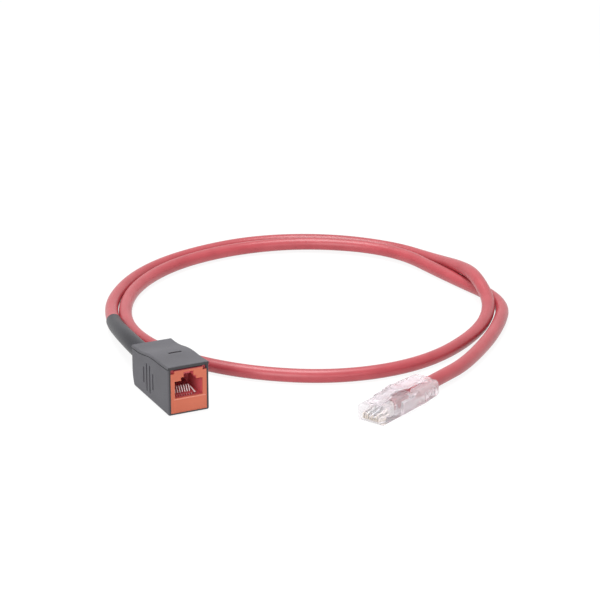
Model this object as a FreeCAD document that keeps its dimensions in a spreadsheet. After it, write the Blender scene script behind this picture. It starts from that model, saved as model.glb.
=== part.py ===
import FreeCAD, Part
import math
import os
import Sketcher

# Ethernet patch cable: a moulded jack housing with a long strain relief on one end,
# a clear modular plug with a snagless boot on the other, and one metre of round cable between.
# Frame: origin under the middle of the housing, +Y towards the cable, +Z up, millimetres.

Vector = FreeCAD.Vector
Rotation = FreeCAD.Rotation
Placement = FreeCAD.Placement

doc = FreeCAD.newDocument("patch_cable")
sheet = doc.addObject("Spreadsheet::Sheet", "sizes")

SIZES = [
    # Housing
    ("housing_width", 17.3),
    ("tail_bay", 10.95),
    ("lid_gap", 0.85),
    ("lip_drop", 0.65),
    ("slope_drop", 2.75),
    ("waist_back", 12.0),
    ("rear_flat", 1.8),
    ("side_wall", 1.0),
    ("floor_wall", 0.9),
    ("rear_wall", 1.2),
    ("cover_wall", 1.4),
    ("heel_height", 7.0),
    ("heel_setback", 1.8),
    ("edge_round", 0.6),
    ("shell_round", 0.8),
    ("grip_pitch", 3.1),
    ("grip_width", 1.0),
    ("grip_depth", 0.5),
    ("grip_centre", 1.65),
    ("grip_level", 8.65),
    ("grip_long", 12.2),
    ("grip_short", 7.2),
    ("cable_level", 8.5),
    ("window_width", 5.6),
    ("window_length", 1.3),
    ("window_offset", 1.0),
    ("window_inset", 1.2),
    ("skirt_depth", 3.2),
    ("skirt_wall", 0.8),
    ("skirt_length", 3.0),
    ("skirt_pitch", 5.6),
    ("skirt_back", 1.0),
    ("fit", 0.05),
    # Jack
    ("face_depth", 4.0),
    ("block_height", 16.7),
    ("jack_depth", 17.0),
    ("notch_side", 1.6),
    ("notch_drop", 1.4),
    ("notch_depth", 1.5),
    ("port_width", 11.8),
    ("port_floor", 6.2),
    ("port_height", 7.0),
    ("port_back", 2.8),
    ("latch_step_width", 6.5),
    ("latch_step_height", 1.4),
    ("tail_step_width", 4.2),
    ("tail_step_height", 2.05),
    ("tail_step_depth", 3.2),
    ("contact_pitch", 1.02),
    ("wire_size", 0.5),
    ("carrier_width", 9.6),
    ("carrier_level", 1.1),
    ("carrier_height", 4.0),
    ("carrier_front", 2.5),
    ("comb_height", 9.6),
    ("comb_depth", 2.6),
    ("lead_level", 4.1),
    ("bend_back", 2.1),
    ("bend_level", 6.6),
    ("spring_gap", 1.8),
    ("spring_slope", 9.0),
    ("board_wall", 1.0),
    ("board_gap", 0.45),
    ("board_height", 14.4),
    ("block_gap", 0.75),
    ("tongue_thickness", 0.8),
    ("tongue_gap", 0.3),
    ("block_half", 6.3),
    ("block_depth", 5.6),
    ("fan_half", 2.5),
    ("fan_depth", 4.4),
    ("post_pitch", 3.2),
    ("post_level", 4.4),
    ("channel_width", 1.15),
    ("fork_width", 2.2),
    ("fork_wall", 0.4),
    ("fork_height", 4.8),
    ("cap_wall", 1.6),
    ("cap_flap", 0.5),
    # Cable
    ("jacket_size", 5.7),
    ("jacket_bite", 0.25),
    ("conductor_size", 0.95),
    ("core_pitch", 1.1),
    ("core_level", 0.8),
    ("core_bend", 0.8),
    ("bore_clearance", 0.1),
    ("clamp_wall", 0.8),
    ("clamp_length", 3.0),
    ("clamp_gap", 0.95),
    ("cradle_wall", 2.0),
    ("sleeve_root", 7.9),
    ("sleeve_tip", 6.5),
    ("sleeve_neck", 7.2),
    ("sleeve_flange", 10.0),
    ("flange_wall", 1.5),
    ("sleeve_length", 62.0),
    # Plug
    ("plug_east", 59.2),
    ("plug_north", -58.0),
    ("plug_heading", 26.5),
    ("plug_width", 11.7),
    ("plug_length", 21.5),
    ("nose_height", 6.6),
    ("tail_height", 6.8),
    ("shoulder_chamfer", 0.9),
    ("plug_cable_level", 3.4),
    ("jacket_end", 11.8),
    ("cavity_width", 7.6),
    ("cavity_floor", 0.4),
    ("cavity_height", 5.95),
    ("blade_wall", 0.35),
    ("blade_length", 3.6),
    ("blade_back", 1.0),
    ("blade_low", 0.45),
    ("lower_row", 2.3),
    ("upper_row", 3.35),
    ("channel_front", 1.2),
    ("bar_front", 6.4),
    ("bar_back", 9.2),
    ("bar_width", 8.9),
    ("window_front", 13.0),
    ("window_back_end", 16.6),
    ("window_half", 2.6),
    ("hinge_front", 1.3),
    ("hinge_level", 7.1),
    ("latch_slope", 6.5),
    ("latch_width", 6.2),
    ("latch_shoulder", 9.0),
    ("latch_tail_width", 3.2),
    ("latch_length", 14.4),
    ("latch_wall", 0.8),
    # Boot
    ("boot_front", 12.2),
    ("boot_end", 37.9),
    ("boot_wall", 0.7),
    ("boot_roof", 7.7),
    ("boot_round", 2.2),
    ("boot_slot", 7.2),
    ("slot_margin", 1.2),
    ("hump_front", 33.3),
    ("hump_height", 8.3),
    ("rib_front", 27.0),
    ("rib_wall", 0.9),
    ("rib_pitch", 2.6),
    ("rib_depth", 1.6),
    ("rib_low", 1.2),
    ("taper_front", 28.0),
    ("taper_side", 1.0),
    ("taper_rise", 0.8),
    ("hood_front", 14.6),
    ("hood_tip_level", 10.0),
    ("hood_crest", 17.8),
    ("hood_crest_level", 9.8),
    ("hood_dip", 21.8),
    ("hood_dip_level", 8.5),
    ("hood_hinge", 32.5),
    ("hood_hinge_level", 8.3),
    ("hood_width", 5.8),
    ("hood_wall", 0.6),
    ("hood_skirt", 0.5),
]

PAST = 0.5
JOIN = 0.2
LONG_EDGE = 5.0
CONTACTS = 8
POSTS = 4
SLEEVE_STEPS = 10


class Dim:
    """A length over the sheet: its value now, and the expression that keeps it current."""

    def __init__(self, value, text):
        self.value = value
        self.text = text

    def __add__(self, other):
        other = dim(other)
        return Dim(self.value + other.value, "(%s + %s)" % (self.text, other.text))

    def __sub__(self, other):
        other = dim(other)
        return Dim(self.value - other.value, "(%s - %s)" % (self.text, other.text))

    def __mul__(self, other):
        other = dim(other)
        return Dim(self.value * other.value, "(%s * %s)" % (self.text, other.text))

    def __truediv__(self, other):
        other = dim(other)
        return Dim(self.value / other.value, "(%s / %s)" % (self.text, other.text))

    def __neg__(self):
        return Dim(-self.value, "(-1 * %s)" % self.text)


def dim(number):
    """A plain number, taken as it is, or a Dim."""
    if isinstance(number, Dim):
        return number
    return Dim(float(number), "(%s)" % number)


def sine(angle):
    """Sine of an angle of the sheet, in degrees."""
    return Dim(math.sin(math.radians(angle.value)), "sin(%s)" % angle.text)


def cosine(angle):
    """Cosine of an angle of the sheet, in degrees."""
    return Dim(math.cos(math.radians(angle.value)), "cos(%s)" % angle.text)


class Sizes:
    """Every named size of the sheet as an attribute."""


S = Sizes()
for row, (alias, value) in enumerate(SIZES, 1):
    sheet.set("A%d" % row, alias)
    sheet.set("B%d" % row, str(value))
    sheet.setAlias("B%d" % row, alias)
    setattr(S, alias, Dim(float(value), "sizes." + alias))
doc.recompute()

PLANES = {"x": "YZ_Plane", "y": "XZ_Plane", "z": "XY_Plane"}


def origin_part(body, role):
    """One of the body's own origin planes or axes."""
    return [part for part in body.Origin.OriginFeatures if part.Role == role][0]


def new_body(name, place=None):
    """An empty body; a place of three sizes (east, north, heading) stands it on the floor there."""
    body = doc.addObject("PartDesign::Body", name)
    body.Label = name
    if place:
        stand(body, place)
    return body


def stand(part, place):
    """Ties a part's Placement to the sheet."""
    east, north, heading = place
    part.Placement = Placement(Vector(east.value, north.value, 0), Rotation(Vector(0, 0, 1), heading.value))
    part.setExpression("Placement.Base.x", east.text)
    part.setExpression("Placement.Base.y", north.text)
    part.setExpression("Placement.Rotation.Angle", heading.text)


def pin(sketch, edge, end, x, y):
    """Fixes one end of a sketch edge at x, y from the sketch's origin."""
    for kind, axis, length in (("DistanceX", -2, dim(x)), ("DistanceY", -1, dim(y))):
        if length.value == 0 and "sizes" not in length.text:
            sketch.addConstraint(Sketcher.Constraint("PointOnObject", edge, end, axis))
        else:
            index = sketch.addConstraint(Sketcher.Constraint(kind, -1, 1, edge, end, length.value))
            sketch.setExpression("Constraints[%d]" % index, length.text)


def arc_between(start, end, radius):
    """Arc of a radius between two points, bulging right of the way; left of it for a negative radius."""
    chord = end - start
    height = math.sqrt(max(radius ** 2 - (chord.Length / 2) ** 2, 0.0))
    left = Vector(-chord.y, chord.x, 0).normalize()
    centre = (start + end) / 2 + left * (height if radius > 0 else -height)
    first = math.atan2(start.y - centre.y, start.x - centre.x)
    last = math.atan2(end.y - centre.y, end.x - centre.x)
    if radius < 0:
        first, last = last, first
    if last < first:
        last += 2 * math.pi
    return Part.ArcOfCircle(Part.Circle(centre, Vector(0, 0, 1), abs(radius)), first, last)


def outline(sketch, corners):
    """Closed outline; a corner with a third value starts an arc of that radius (see arc_between)."""
    base = sketch.GeometryCount
    ends = []
    for number, corner in enumerate(corners):
        following = corners[(number + 1) % len(corners)]
        start = Vector(dim(corner[0]).value, dim(corner[1]).value, 0)
        end = Vector(dim(following[0]).value, dim(following[1]).value, 0)
        if len(corner) > 2:
            radius = dim(corner[2])
            edge = sketch.addGeometry(arc_between(start, end, radius.value), False)
            ends.append((1, 2) if radius.value > 0 else (2, 1))
            index = sketch.addConstraint(Sketcher.Constraint("Radius", edge, abs(radius.value)))
            sketch.setExpression("Constraints[%d]" % index, "abs(%s)" % radius.text)
        else:
            sketch.addGeometry(Part.LineSegment(start, end), False)
            ends.append((1, 2))
    for number, corner in enumerate(corners):
        following = (number + 1) % len(corners)
        meeting = Sketcher.Constraint("Coincident", base + number, ends[number][1],
                                      base + following, ends[following][0])
        sketch.addConstraint(meeting)
        pin(sketch, base + number, ends[number][0], corner[0], corner[1])


def round_end(half_chord):
    """Radius of a round end: a shade over a half circle's, so that the arc has a single solution."""
    return half_chord * 1.02


def ring(sketch, x, y, radius):
    """Circle of a radius about x, y."""
    round_edge = Part.Circle(Vector(dim(x).value, dim(y).value, 0), Vector(0, 0, 1), radius.value)
    edge = sketch.addGeometry(round_edge, False)
    pin(sketch, edge, 3, x, y)
    index = sketch.addConstraint(Sketcher.Constraint("Radius", edge, radius.value))
    sketch.setExpression("Constraints[%d]" % index, radius.text)


def box(low_x, high_x, low_y, high_y):
    """The four corners of a rectangle."""
    return [(low_x, low_y), (high_x, low_y), (high_x, high_y), (low_x, high_y)]


def slab(body, name, axis, low, high, outlines, cut=False):
    """Adds or cuts what the outlines enclose between two levels of an axis; (x, y, radius) is a circle."""
    low, high = dim(low), dim(high)
    sketch = body.newObject("Sketcher::SketchObject", name + "_sketch")
    sketch.AttachmentSupport = [(origin_part(body, PLANES[axis]), "")]
    sketch.MapMode = "FlatFace"
    level = -low if axis == "y" else low
    sketch.AttachmentOffset = Placement(Vector(0, 0, level.value), Rotation())
    sketch.setExpression(".AttachmentOffset.Base.z", level.text)
    for shape in outlines:
        if isinstance(shape, tuple):
            ring(sketch, *shape)
        else:
            outline(sketch, shape)
    before = body.Shape.Volume if body.Tip else 0
    feature = body.newObject("PartDesign::Pocket" if cut else "PartDesign::Pad", name)
    feature.Profile = sketch
    feature.Reversed = (axis != "y") if cut else (axis == "y")
    feature.Length = (high - low).value
    feature.setExpression("Length", (high - low).text)
    doc.recompute()
    check_change(name, before, body.Shape.Volume, cut)
    return feature


def check_change(name, before, after, cut):
    """Stops the build when a feature changed nothing, or changed it the wrong way."""
    if (after >= before - 1e-6) if cut else (after <= before + 1e-6):
        raise RuntimeError("%s changed nothing: %.4f to %.4f" % (name, before, after))


def repeat(body, name, features, axis, pitch, count):
    """Copies features along an axis at a pitch."""
    pattern = body.newObject("PartDesign::LinearPattern", name)
    pattern.Originals = features
    pattern.Direction = (origin_part(body, axis.upper() + "_Axis"), [""])
    pattern.Occurrences = count
    pattern.Length = (pitch * (count - 1)).value
    pattern.setExpression("Length", (pitch * (count - 1)).text)
    body.Tip = pattern
    doc.recompute()
    return pattern


def mirror(body, name, features, role):
    """Mirrors features in one of the body's origin planes."""
    mirrored = body.newObject("PartDesign::Mirrored", name)
    mirrored.Originals = features
    mirrored.MirrorPlane = (origin_part(body, role), [""])
    body.Tip = mirrored
    doc.recompute()
    return mirrored


def soften(body, name, kind, size, chosen):
    """Rounds or chamfers the edges whose middle passes the test."""
    tip = body.Tip
    names = []
    for number, edge in enumerate(tip.Shape.Edges, 1):
        middle = edge.valueAt((edge.FirstParameter + edge.LastParameter) / 2)
        if chosen(edge, middle):
            names.append("Edge%d" % number)
    feature = body.newObject("PartDesign::" + kind, name)
    feature.Base = (tip, names)
    prop = "Radius" if kind == "Fillet" else "Size"
    setattr(feature, prop, size.value)
    feature.setExpression(prop, size.text)
    doc.recompute()


def near(value, length):
    """Whether a coordinate lies on a length of the sheet."""
    return abs(value - dim(length).value) < 1e-4


# Levels and stations that several pieces share
housing_length = S.jack_depth + S.board_wall + S.block_depth + S.fit + S.cap_wall + S.tail_bay + S.rear_wall
slope_run = housing_length - S.waist_back - S.rear_flat
front = -housing_length / 2
rear = housing_length / 2
jack_floor = S.floor_wall
jack_rear = front + S.jack_depth
board_front = jack_rear
board_back = board_front + S.board_wall
block_back = board_back + S.block_depth
cap_front = block_back + S.fit
cap_back = cap_front + S.cap_wall
jacket_front = cap_back - S.jacket_bite
block_top = jack_floor + S.block_height
waist_height = block_top + S.lid_gap + S.cover_wall
front_height = waist_height + S.lip_drop
rear_height = waist_height - S.slope_drop
half_width = S.housing_width / 2
inner_half = half_width - S.side_wall
board_width = (inner_half - S.board_gap) * 2
block_width = (inner_half - S.block_gap) * 2
spring_length = S.jack_depth - S.bend_back - S.spring_gap
waist = front + S.waist_back
slope_end = waist + slope_run
lip_radius = (S.waist_back * S.waist_back + S.lip_drop * S.lip_drop) / (S.lip_drop * 2)
slope_radius = (slope_run * slope_run + S.slope_drop * S.slope_drop) / (S.slope_drop * 4)
heel_radius = (S.heel_height * S.heel_height + S.heel_setback * S.heel_setback) / (S.heel_setback * 2)
inner_rear = rear - S.rear_wall


def top_line(drop):
    """The housing's top from the front lip through the S bend to the rear, lowered by drop."""
    return [
        (front, front_height - drop, lip_radius),
        (waist, waist_height - drop, -slope_radius),
        (waist + slope_run / 2, waist_height - S.slope_drop / 2 - drop, slope_radius),
        (slope_end, rear_height - drop),
        (rear, rear_height - drop),
    ]


flange_front = inner_rear - S.fit - S.flange_wall
clamp_front = flange_front - S.clamp_gap - S.clamp_length
clamp_radius = S.jacket_size / 2 + S.clamp_wall
cradle_front = clamp_front + (S.clamp_length - S.cradle_wall) / 2
cradle_half = S.block_half - S.cradle_wall

# Housing body: a tray with side walls, a rear wall that holds the sleeve, and a cradle for the clamp
housing = new_body("housing_body")
heel = [(rear, S.heel_height, -heel_radius), (rear - S.heel_setback, 0), (front, 0)]
side_profile = top_line(S.cover_wall) + heel
slab(housing, "HousingForm", "x", -half_width, half_width, [side_profile])
slab(housing, "HousingCavity", "z", S.floor_wall, front_height,
     [box(-inner_half, inner_half, front - 1, inner_rear)], cut=True)
slab(housing, "Cradle", "y", cradle_front, cradle_front + S.cradle_wall,
     [box(-cradle_half, cradle_half, S.floor_wall - JOIN, S.cable_level - S.fit)])
slab(housing, "CradleSeat", "y", cradle_front - PAST, cradle_front + S.cradle_wall + PAST,
     [(0, S.cable_level, clamp_radius + S.fit)], cut=True)
slab(housing, "SleeveHole", "y", inner_rear - PAST, rear + PAST,
     [(0, S.cable_level, S.sleeve_neck / 2 + S.fit)], cut=True)


def grip_groove(name, station, length):
    """One upright groove with round ends in the side wall."""
    half = S.grip_width / 2
    low = S.grip_level - length / 2 + half
    high = S.grip_level + length / 2 - half
    bow = round_end(half)
    corners = [(station - half, low, bow), (station + half, low),
               (station + half, high, bow), (station - half, high)]
    return slab(housing, name, "x", half_width - S.grip_depth, half_width + PAST, [corners], cut=True)


grooves = []
for number in range(4):
    place = S.grip_centre + S.grip_pitch * (number - 1.5)
    long_one = number in (1, 2)
    grooves.append(grip_groove("Grip%d" % (number + 1), place, S.grip_long if long_one else S.grip_short))
mirror(housing, "GripsOtherSide", grooves, "YZ_Plane")
soften(housing, "HousingEdges", "Fillet", S.shell_round,
       lambda edge, middle: edge.Length > LONG_EDGE
       and (near(abs(middle.x), half_width) and (near(middle.z, 0) or near(middle.y, front))
            or near(middle.y, front) and near(middle.z, 0)))
soften(housing, "HeelEdges", "Fillet", S.edge_round,
       lambda edge, middle: edge.Length > LONG_EDGE and middle.y > (rear - S.heel_setback).value
       and abs(middle.x) > (half_width - S.edge_round).value)

# Housing cover: the S-curved top with the window over the jack's snap tooth, and the upper cradle
cover = new_body("housing_cover")
lower_line = top_line(S.cover_wall)
underside = [
    (lower_line[4][0], lower_line[4][1]),
    (lower_line[3][0], lower_line[3][1], -slope_radius),
    (lower_line[2][0], lower_line[2][1], slope_radius),
    (lower_line[1][0], lower_line[1][1], -lip_radius),
    (lower_line[0][0], lower_line[0][1]),
]
slab(cover, "CoverForm", "x", -half_width, half_width, [top_line(0) + underside])
soften(cover, "CoverEdges", "Fillet", S.edge_round,
       lambda edge, middle: near(abs(middle.x), half_width) and middle.z > (rear_height - 0.01).value
       and edge.Length > (S.cover_wall + JOIN).value or near(middle.y, rear) and near(middle.z, rear_height)
       or near(middle.y, front) and near(middle.z, front_height))
window_middle = jack_rear - S.window_inset
slab(cover, "SnapWindow", "z", rear_height - S.cover_wall, front_height,
     [box(S.window_offset - S.window_width / 2, S.window_offset + S.window_width / 2,
          window_middle - S.window_length / 2, window_middle + S.window_length / 2)], cut=True)
rib_half = cradle_half - 1
slab(cover, "UpperCradle", "y", cradle_front, cradle_front + S.cradle_wall,
     [box(-rib_half, rib_half, S.cable_level + S.fit, rear_height - S.cover_wall / 2)])
slab(cover, "UpperSeat", "y", cradle_front - PAST, cradle_front + S.cradle_wall + PAST,
     [(0, S.cable_level, clamp_radius + S.fit)], cut=True)
skirt_top = rear_height - JOIN
skirt_low = rear_height - S.cover_wall - S.skirt_depth
skirt_outer = inner_half - S.fit
skirt_end = inner_rear - S.skirt_back
skirt = slab(cover, "Skirt", "z", skirt_low, skirt_top,
             [box(skirt_outer - S.skirt_wall, skirt_outer,
                  skirt_end - S.skirt_length - S.skirt_pitch, skirt_end - S.skirt_pitch)])
skirt_rear = slab(cover, "SkirtRear", "z", skirt_low, skirt_top,
                  [box(skirt_outer - S.skirt_wall, skirt_outer,
                       skirt_end - S.skirt_length, skirt_end)])
mirror(cover, "SkirtsOtherSide", [skirt, skirt_rear], "YZ_Plane")

# Jack frame: the face with its stepped port, and the block behind it
jack_half = inner_half - S.fit
face_share = -(S.face_depth / S.waist_back) + 1
face_top = block_top + S.lid_gap + S.lip_drop * face_share * face_share - S.fit
port_low = jack_floor + S.port_floor
port_high = port_low + S.port_height
latch_high = port_high + S.latch_step_height
tail_high = latch_high + S.tail_step_height
port_half = S.port_width / 2
latch_half = S.latch_step_width / 2
tail_half = S.tail_step_width / 2
port_rear = jack_rear - S.port_back
carrier_half = S.carrier_width / 2
carrier_low = jack_floor + S.carrier_level
carrier_top = carrier_low + S.carrier_height
comb_top = jack_floor + S.comb_height

jack = new_body("jack_frame")
slab(jack, "JackFace", "y", front, front + S.notch_depth,
     [[(-jack_half, jack_floor), (jack_half, jack_floor), (jack_half, face_top - S.notch_drop),
       (jack_half - S.notch_side, face_top - S.notch_drop), (jack_half - S.notch_side, face_top),
       (S.notch_side - jack_half, face_top), (S.notch_side - jack_half, face_top - S.notch_drop),
       (-jack_half, face_top - S.notch_drop)]])
slab(jack, "JackBrow", "y", front + S.notch_depth, front + S.face_depth,
     [box(-jack_half, jack_half, jack_floor, face_top)])
slab(jack, "JackBlock", "y", front + S.face_depth, jack_rear,
     [box(-jack_half, jack_half, jack_floor, block_top)])
slab(jack, "Port", "y", front - PAST, port_rear,
     [[(-port_half, port_low), (port_half, port_low), (port_half, port_high), (latch_half, port_high),
       (latch_half, latch_high), (-latch_half, latch_high), (-latch_half, port_high),
       (-port_half, port_high)]],
     cut=True)
slab(jack, "TailStep", "y", front - PAST, front + S.tail_step_depth,
     [box(-tail_half, tail_half, latch_high - JOIN, tail_high)], cut=True)
slab(jack, "CarrierTunnel", "y", front + S.carrier_front - 1, jack_rear + PAST,
     [box(-carrier_half - S.fit, carrier_half + S.fit, carrier_low - S.fit, carrier_top + S.fit)], cut=True)
slab(jack, "CombRecess", "y", port_rear - 0.1, jack_rear + PAST,
     [box(-carrier_half - S.fit, carrier_half + S.fit, carrier_top, comb_top + S.fit)], cut=True)
row_half = S.contact_pitch * ((CONTACTS - 1) / 2) + S.wire_size
slab(jack, "SpringSlot", "z", carrier_top - 0.1, port_low + JOIN,
     [box(-row_half, row_half, front + S.carrier_front - 1, front + S.carrier_front + 1)], cut=True)
tooth_half = S.window_width / 2 - S.fit * 4
tooth_low = window_middle - S.window_length / 2 + S.fit * 2
tooth_high = window_middle + S.window_length / 2 - S.fit * 2
slab(jack, "SnapTooth", "x", S.window_offset - tooth_half, S.window_offset + tooth_half,
     [[(tooth_low, block_top - JOIN), (tooth_high, block_top - JOIN),
       (tooth_high, waist_height - S.cover_wall / 2),
       (tooth_low, waist_height - S.cover_wall)]])

# Contact carrier: the bar under the port and the comb behind it that guides the spring tips
carrier = new_body("contact_carrier")
slab(carrier, "CarrierBar", "y", front + S.carrier_front + S.wire_size, jack_rear,
     [box(-carrier_half, carrier_half, carrier_low, carrier_top)])
slab(carrier, "Comb", "y", jack_rear - S.comb_depth, jack_rear,
     [box(-carrier_half, carrier_half, carrier_top - JOIN, comb_top)])
row_start = -S.contact_pitch * ((CONTACTS - 1) / 2)
slot_half = S.wire_size / 2 + S.fit
lead_level = jack_floor + S.lead_level
tip_slot = slab(carrier, "TipSlot", "y", jack_rear - S.comb_depth - JOIN, jack_rear - S.comb_depth / 2,
                [box(row_start - slot_half, row_start + slot_half, port_low, comb_top - 0.4)], cut=True)
lead_slot = slab(carrier, "LeadSlot", "y", front + S.carrier_front, jack_rear + JOIN,
                 [box(row_start - slot_half, row_start + slot_half,
                      carrier_low - JOIN, lead_level + slot_half)],
                 cut=True)
repeat(carrier, "SlotRow", [tip_slot, lead_slot], "x", S.contact_pitch, CONTACTS)

# Circuit board: stands behind the jack; the leads and the forks pass through it
cable_level = S.cable_level
board = new_body("circuit_board")
slab(board, "BoardForm", "y", board_front, board_back,
     [box(-board_width / 2, board_width / 2, S.floor_wall, S.floor_wall + S.board_height)])
lead_hole = slab(board, "LeadHole", "y", board_front - JOIN, board_back + JOIN,
                 [(row_start, lead_level, S.wire_size * 0.75 + S.fit)], cut=True)
lead_row = repeat(board, "LeadHoles", [lead_hole], "x", S.contact_pitch, CONTACTS)


def post_rows(body, name, half_x, half_z, low, high, cut):
    """The same box at every post: four across, above and below the cable."""
    first = -S.post_pitch * ((POSTS - 1) / 2)
    features = []
    for side in (1, -1):
        level = cable_level + S.post_level * side
        features.append(slab(body, "%s%s" % (name, "Upper" if side > 0 else "Lower"), "y", low, high,
                             [box(first - half_x, first + half_x, level - half_z, level + half_z)], cut=cut))
    return repeat(body, name + "Row", features, "x", S.post_pitch, POSTS)


fork_slot_x = S.fork_width / 2 + S.fit
fork_slot_z = S.fork_wall / 2 + S.fit
post_rows(board, "ForkSlot", fork_slot_x, fork_slot_z, board_front - JOIN, board_back + JOIN, True)

# Connection block: wire channels above and below, a central recess where the conductors fan out
block = new_body("connection_block")
slab(block, "BlockForm", "y", board_back, block_back,
     [box(-block_width / 2, block_width / 2, cable_level - S.block_half, cable_level + S.block_half)])
slab(block, "FanRecess", "y", block_back - S.fan_depth, block_back + JOIN,
     [box(-block_width / 2 - JOIN, block_width / 2 + JOIN,
          cable_level - S.fan_half, cable_level + S.fan_half)],
     cut=True)
channel_back = block_back - S.fan_depth / 2 - S.conductor_size / 2 - S.fit * 2
channel = slab(block, "Channel", "y", channel_back, block_back + JOIN,
               [box(S.post_pitch * -1.5 - S.channel_width / 2, S.post_pitch * -1.5 + S.channel_width / 2,
                    cable_level - S.block_half - JOIN, cable_level + S.block_half + JOIN)], cut=True)
repeat(block, "ChannelRow", [channel], "x", S.post_pitch, POSTS)
post_rows(block, "ForkSlot", fork_slot_x, fork_slot_z, board_back - JOIN, block_back + JOIN, True)

# Connection forks: eight flat blades, each with a slit that grips its conductor
forks = new_body("connection_forks")
fork_front = board_front + JOIN
fork_tip = board_back + S.fork_height
seat_level = block_back - S.fan_depth / 2
slit_half = S.conductor_size / 2 + S.fit
slit_floor = seat_level - S.fit * 2
fork_first = -S.post_pitch * ((POSTS - 1) / 2)
fork_features = []
for side in (1, -1):
    level = cable_level + S.post_level * side
    half = S.fork_width / 2
    name = "Fork%s" % ("Upper" if side > 0 else "Lower")
    shape = [(fork_first - half, fork_front), (fork_first + half, fork_front), (fork_first + half, fork_tip),
             (fork_first + slit_half, fork_tip), (fork_first + slit_half, slit_floor, -round_end(slit_half)),
             (fork_first - slit_half, slit_floor), (fork_first - slit_half, fork_tip),
             (fork_first - half, fork_tip)]
    fork_features.append(slab(forks, name, "z", level - S.fork_wall / 2, level + S.fork_wall / 2, [shape]))
repeat(forks, "ForkRow", fork_features, "x", S.post_pitch, POSTS)

# Termination cap: pushes the conductors home and lets the cable through its middle
cap = new_body("termination_cap")
flap_inner = block_width / 2 + S.fit
slab(cap, "CapPlate", "y", cap_front, cap_back,
     [box(-flap_inner - S.cap_flap, flap_inner + S.cap_flap,
          cable_level - S.block_half, cable_level + S.block_half),
      (0, cable_level, S.jacket_size / 2 + S.bore_clearance)])
flap = slab(cap, "CapFlap", "x", flap_inner, flap_inner + S.cap_flap,
            [box(block_back - S.fan_depth, cap_front,
                 cable_level - S.post_level, cable_level + S.post_level)])
mirror(cap, "CapFlaps", [flap], "YZ_Plane")
tongue_z = S.post_level + S.fork_wall + S.tongue_thickness / 2 + S.tongue_gap
first_tongue = S.post_pitch * -1.5
tongue_half = S.channel_width / 2 - S.fit * 2
tongues = []
for side in (1, -1):
    level = cable_level + tongue_z * side
    tongues.append(slab(cap, "Tongue%s" % ("Upper" if side > 0 else "Lower"), "y",
                        seat_level + S.conductor_size / 2 + S.fit, cap_front,
                        [box(first_tongue - tongue_half, first_tongue + tongue_half,
                             level - S.tongue_thickness / 2, level + S.tongue_thickness / 2)]))
repeat(cap, "TongueRow", tongues, "x", S.post_pitch, POSTS)


def route_edges(points, bends):
    """Straight runs through the points, joined at each inner point by a tangent arc of the given radius."""
    edges = []
    start = points[0]
    for number in range(1, len(points) - 1):
        corner = points[number]
        before = (corner - points[number - 1]).normalize()
        after = (points[number + 1] - corner).normalize()
        half_turn = before.getAngle(after) / 2
        setback = bends[number - 1] * math.tan(half_turn)
        arc_start = corner - before * setback
        arc_end = corner + after * setback
        inward = (after - before).normalize()
        centre = corner + inward * (bends[number - 1] / math.cos(half_turn))
        arc_middle = centre - inward * bends[number - 1]
        edges.append(Part.LineSegment(start, arc_start).toShape())
        edges.append(Part.Arc(arc_start, arc_middle, arc_end).toShape())
        start = arc_end
    edges.append(Part.LineSegment(start, points[-1]).toShape())
    return edges


def section(name, at, along, size):
    """A circle of a diameter, square to a direction."""
    circle = doc.addObject("Part::Circle", name)
    circle.Placement = Placement(at, Rotation(Vector(0, 0, 1), along))
    circle.Radius = (size / 2).value
    circle.setExpression("Radius", (size / 2).text)
    return circle


def sweep(name, edges, profile):
    """Sweeps a section along a route of runs and arcs."""
    path = doc.addObject("Part::Feature", name + "_route")
    path.Shape = Part.Wire(edges)
    tube = doc.addObject("Part::Sweep", name)
    tube.Sections = [profile]
    tube.Spine = (path, [])
    tube.Solid = True
    tube.Frenet = False
    return tube


def conductor(name, points):
    """An insulated conductor through four points, its section an octagon."""
    radius = (S.conductor_size * S.core_bend).value
    edges = route_edges(points, [radius, radius])
    outline_of = doc.addObject("Part::RegularPolygon", name + "_section")
    outline_of.Polygon = 8
    along = edges[0].tangentAt(edges[0].FirstParameter)
    outline_of.Placement = Placement(points[0], Rotation(Vector(0, 0, 1), along))
    outline_of.Circumradius = (S.conductor_size / 2).value
    outline_of.setExpression("Circumradius", (S.conductor_size / 2).text)
    return sweep(name, edges, outline_of)


def frustums(name, edges, first, last, count, sizes):
    """A chain of ruled cones along a route between two lengths, from one diameter to another."""
    sections = []
    for number in range(count + 1):
        share = number / count
        at, along = point_on(edges, first + (last - first) * share)
        size = sizes[0] * (1 - share) + sizes[1] * share
        sections.append(section("%s_%d" % (name, number), at, along, size))
    chain = doc.addObject("Part::Loft", name)
    chain.Sections = sections
    chain.Solid = True
    chain.Ruled = True
    return chain


def point_on(edges, length):
    """Point and direction at a length along a route."""
    for edge in edges:
        if length <= edge.Length:
            parameter = edge.getParameterByLength(length)
            return edge.valueAt(parameter), edge.tangentAt(parameter)
        length -= edge.Length
    return edges[-1].valueAt(edges[-1].LastParameter), edges[-1].tangentAt(edges[-1].LastParameter)


def group(name, members):
    """Separate solids that share one name."""
    parts = doc.addObject("Part::Compound", name)
    parts.Links = members
    parts.Label = name
    return parts


def spot(x, y, z):
    """A point from three lengths."""
    return Vector(dim(x).value, dim(y).value, dim(z).value)


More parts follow.
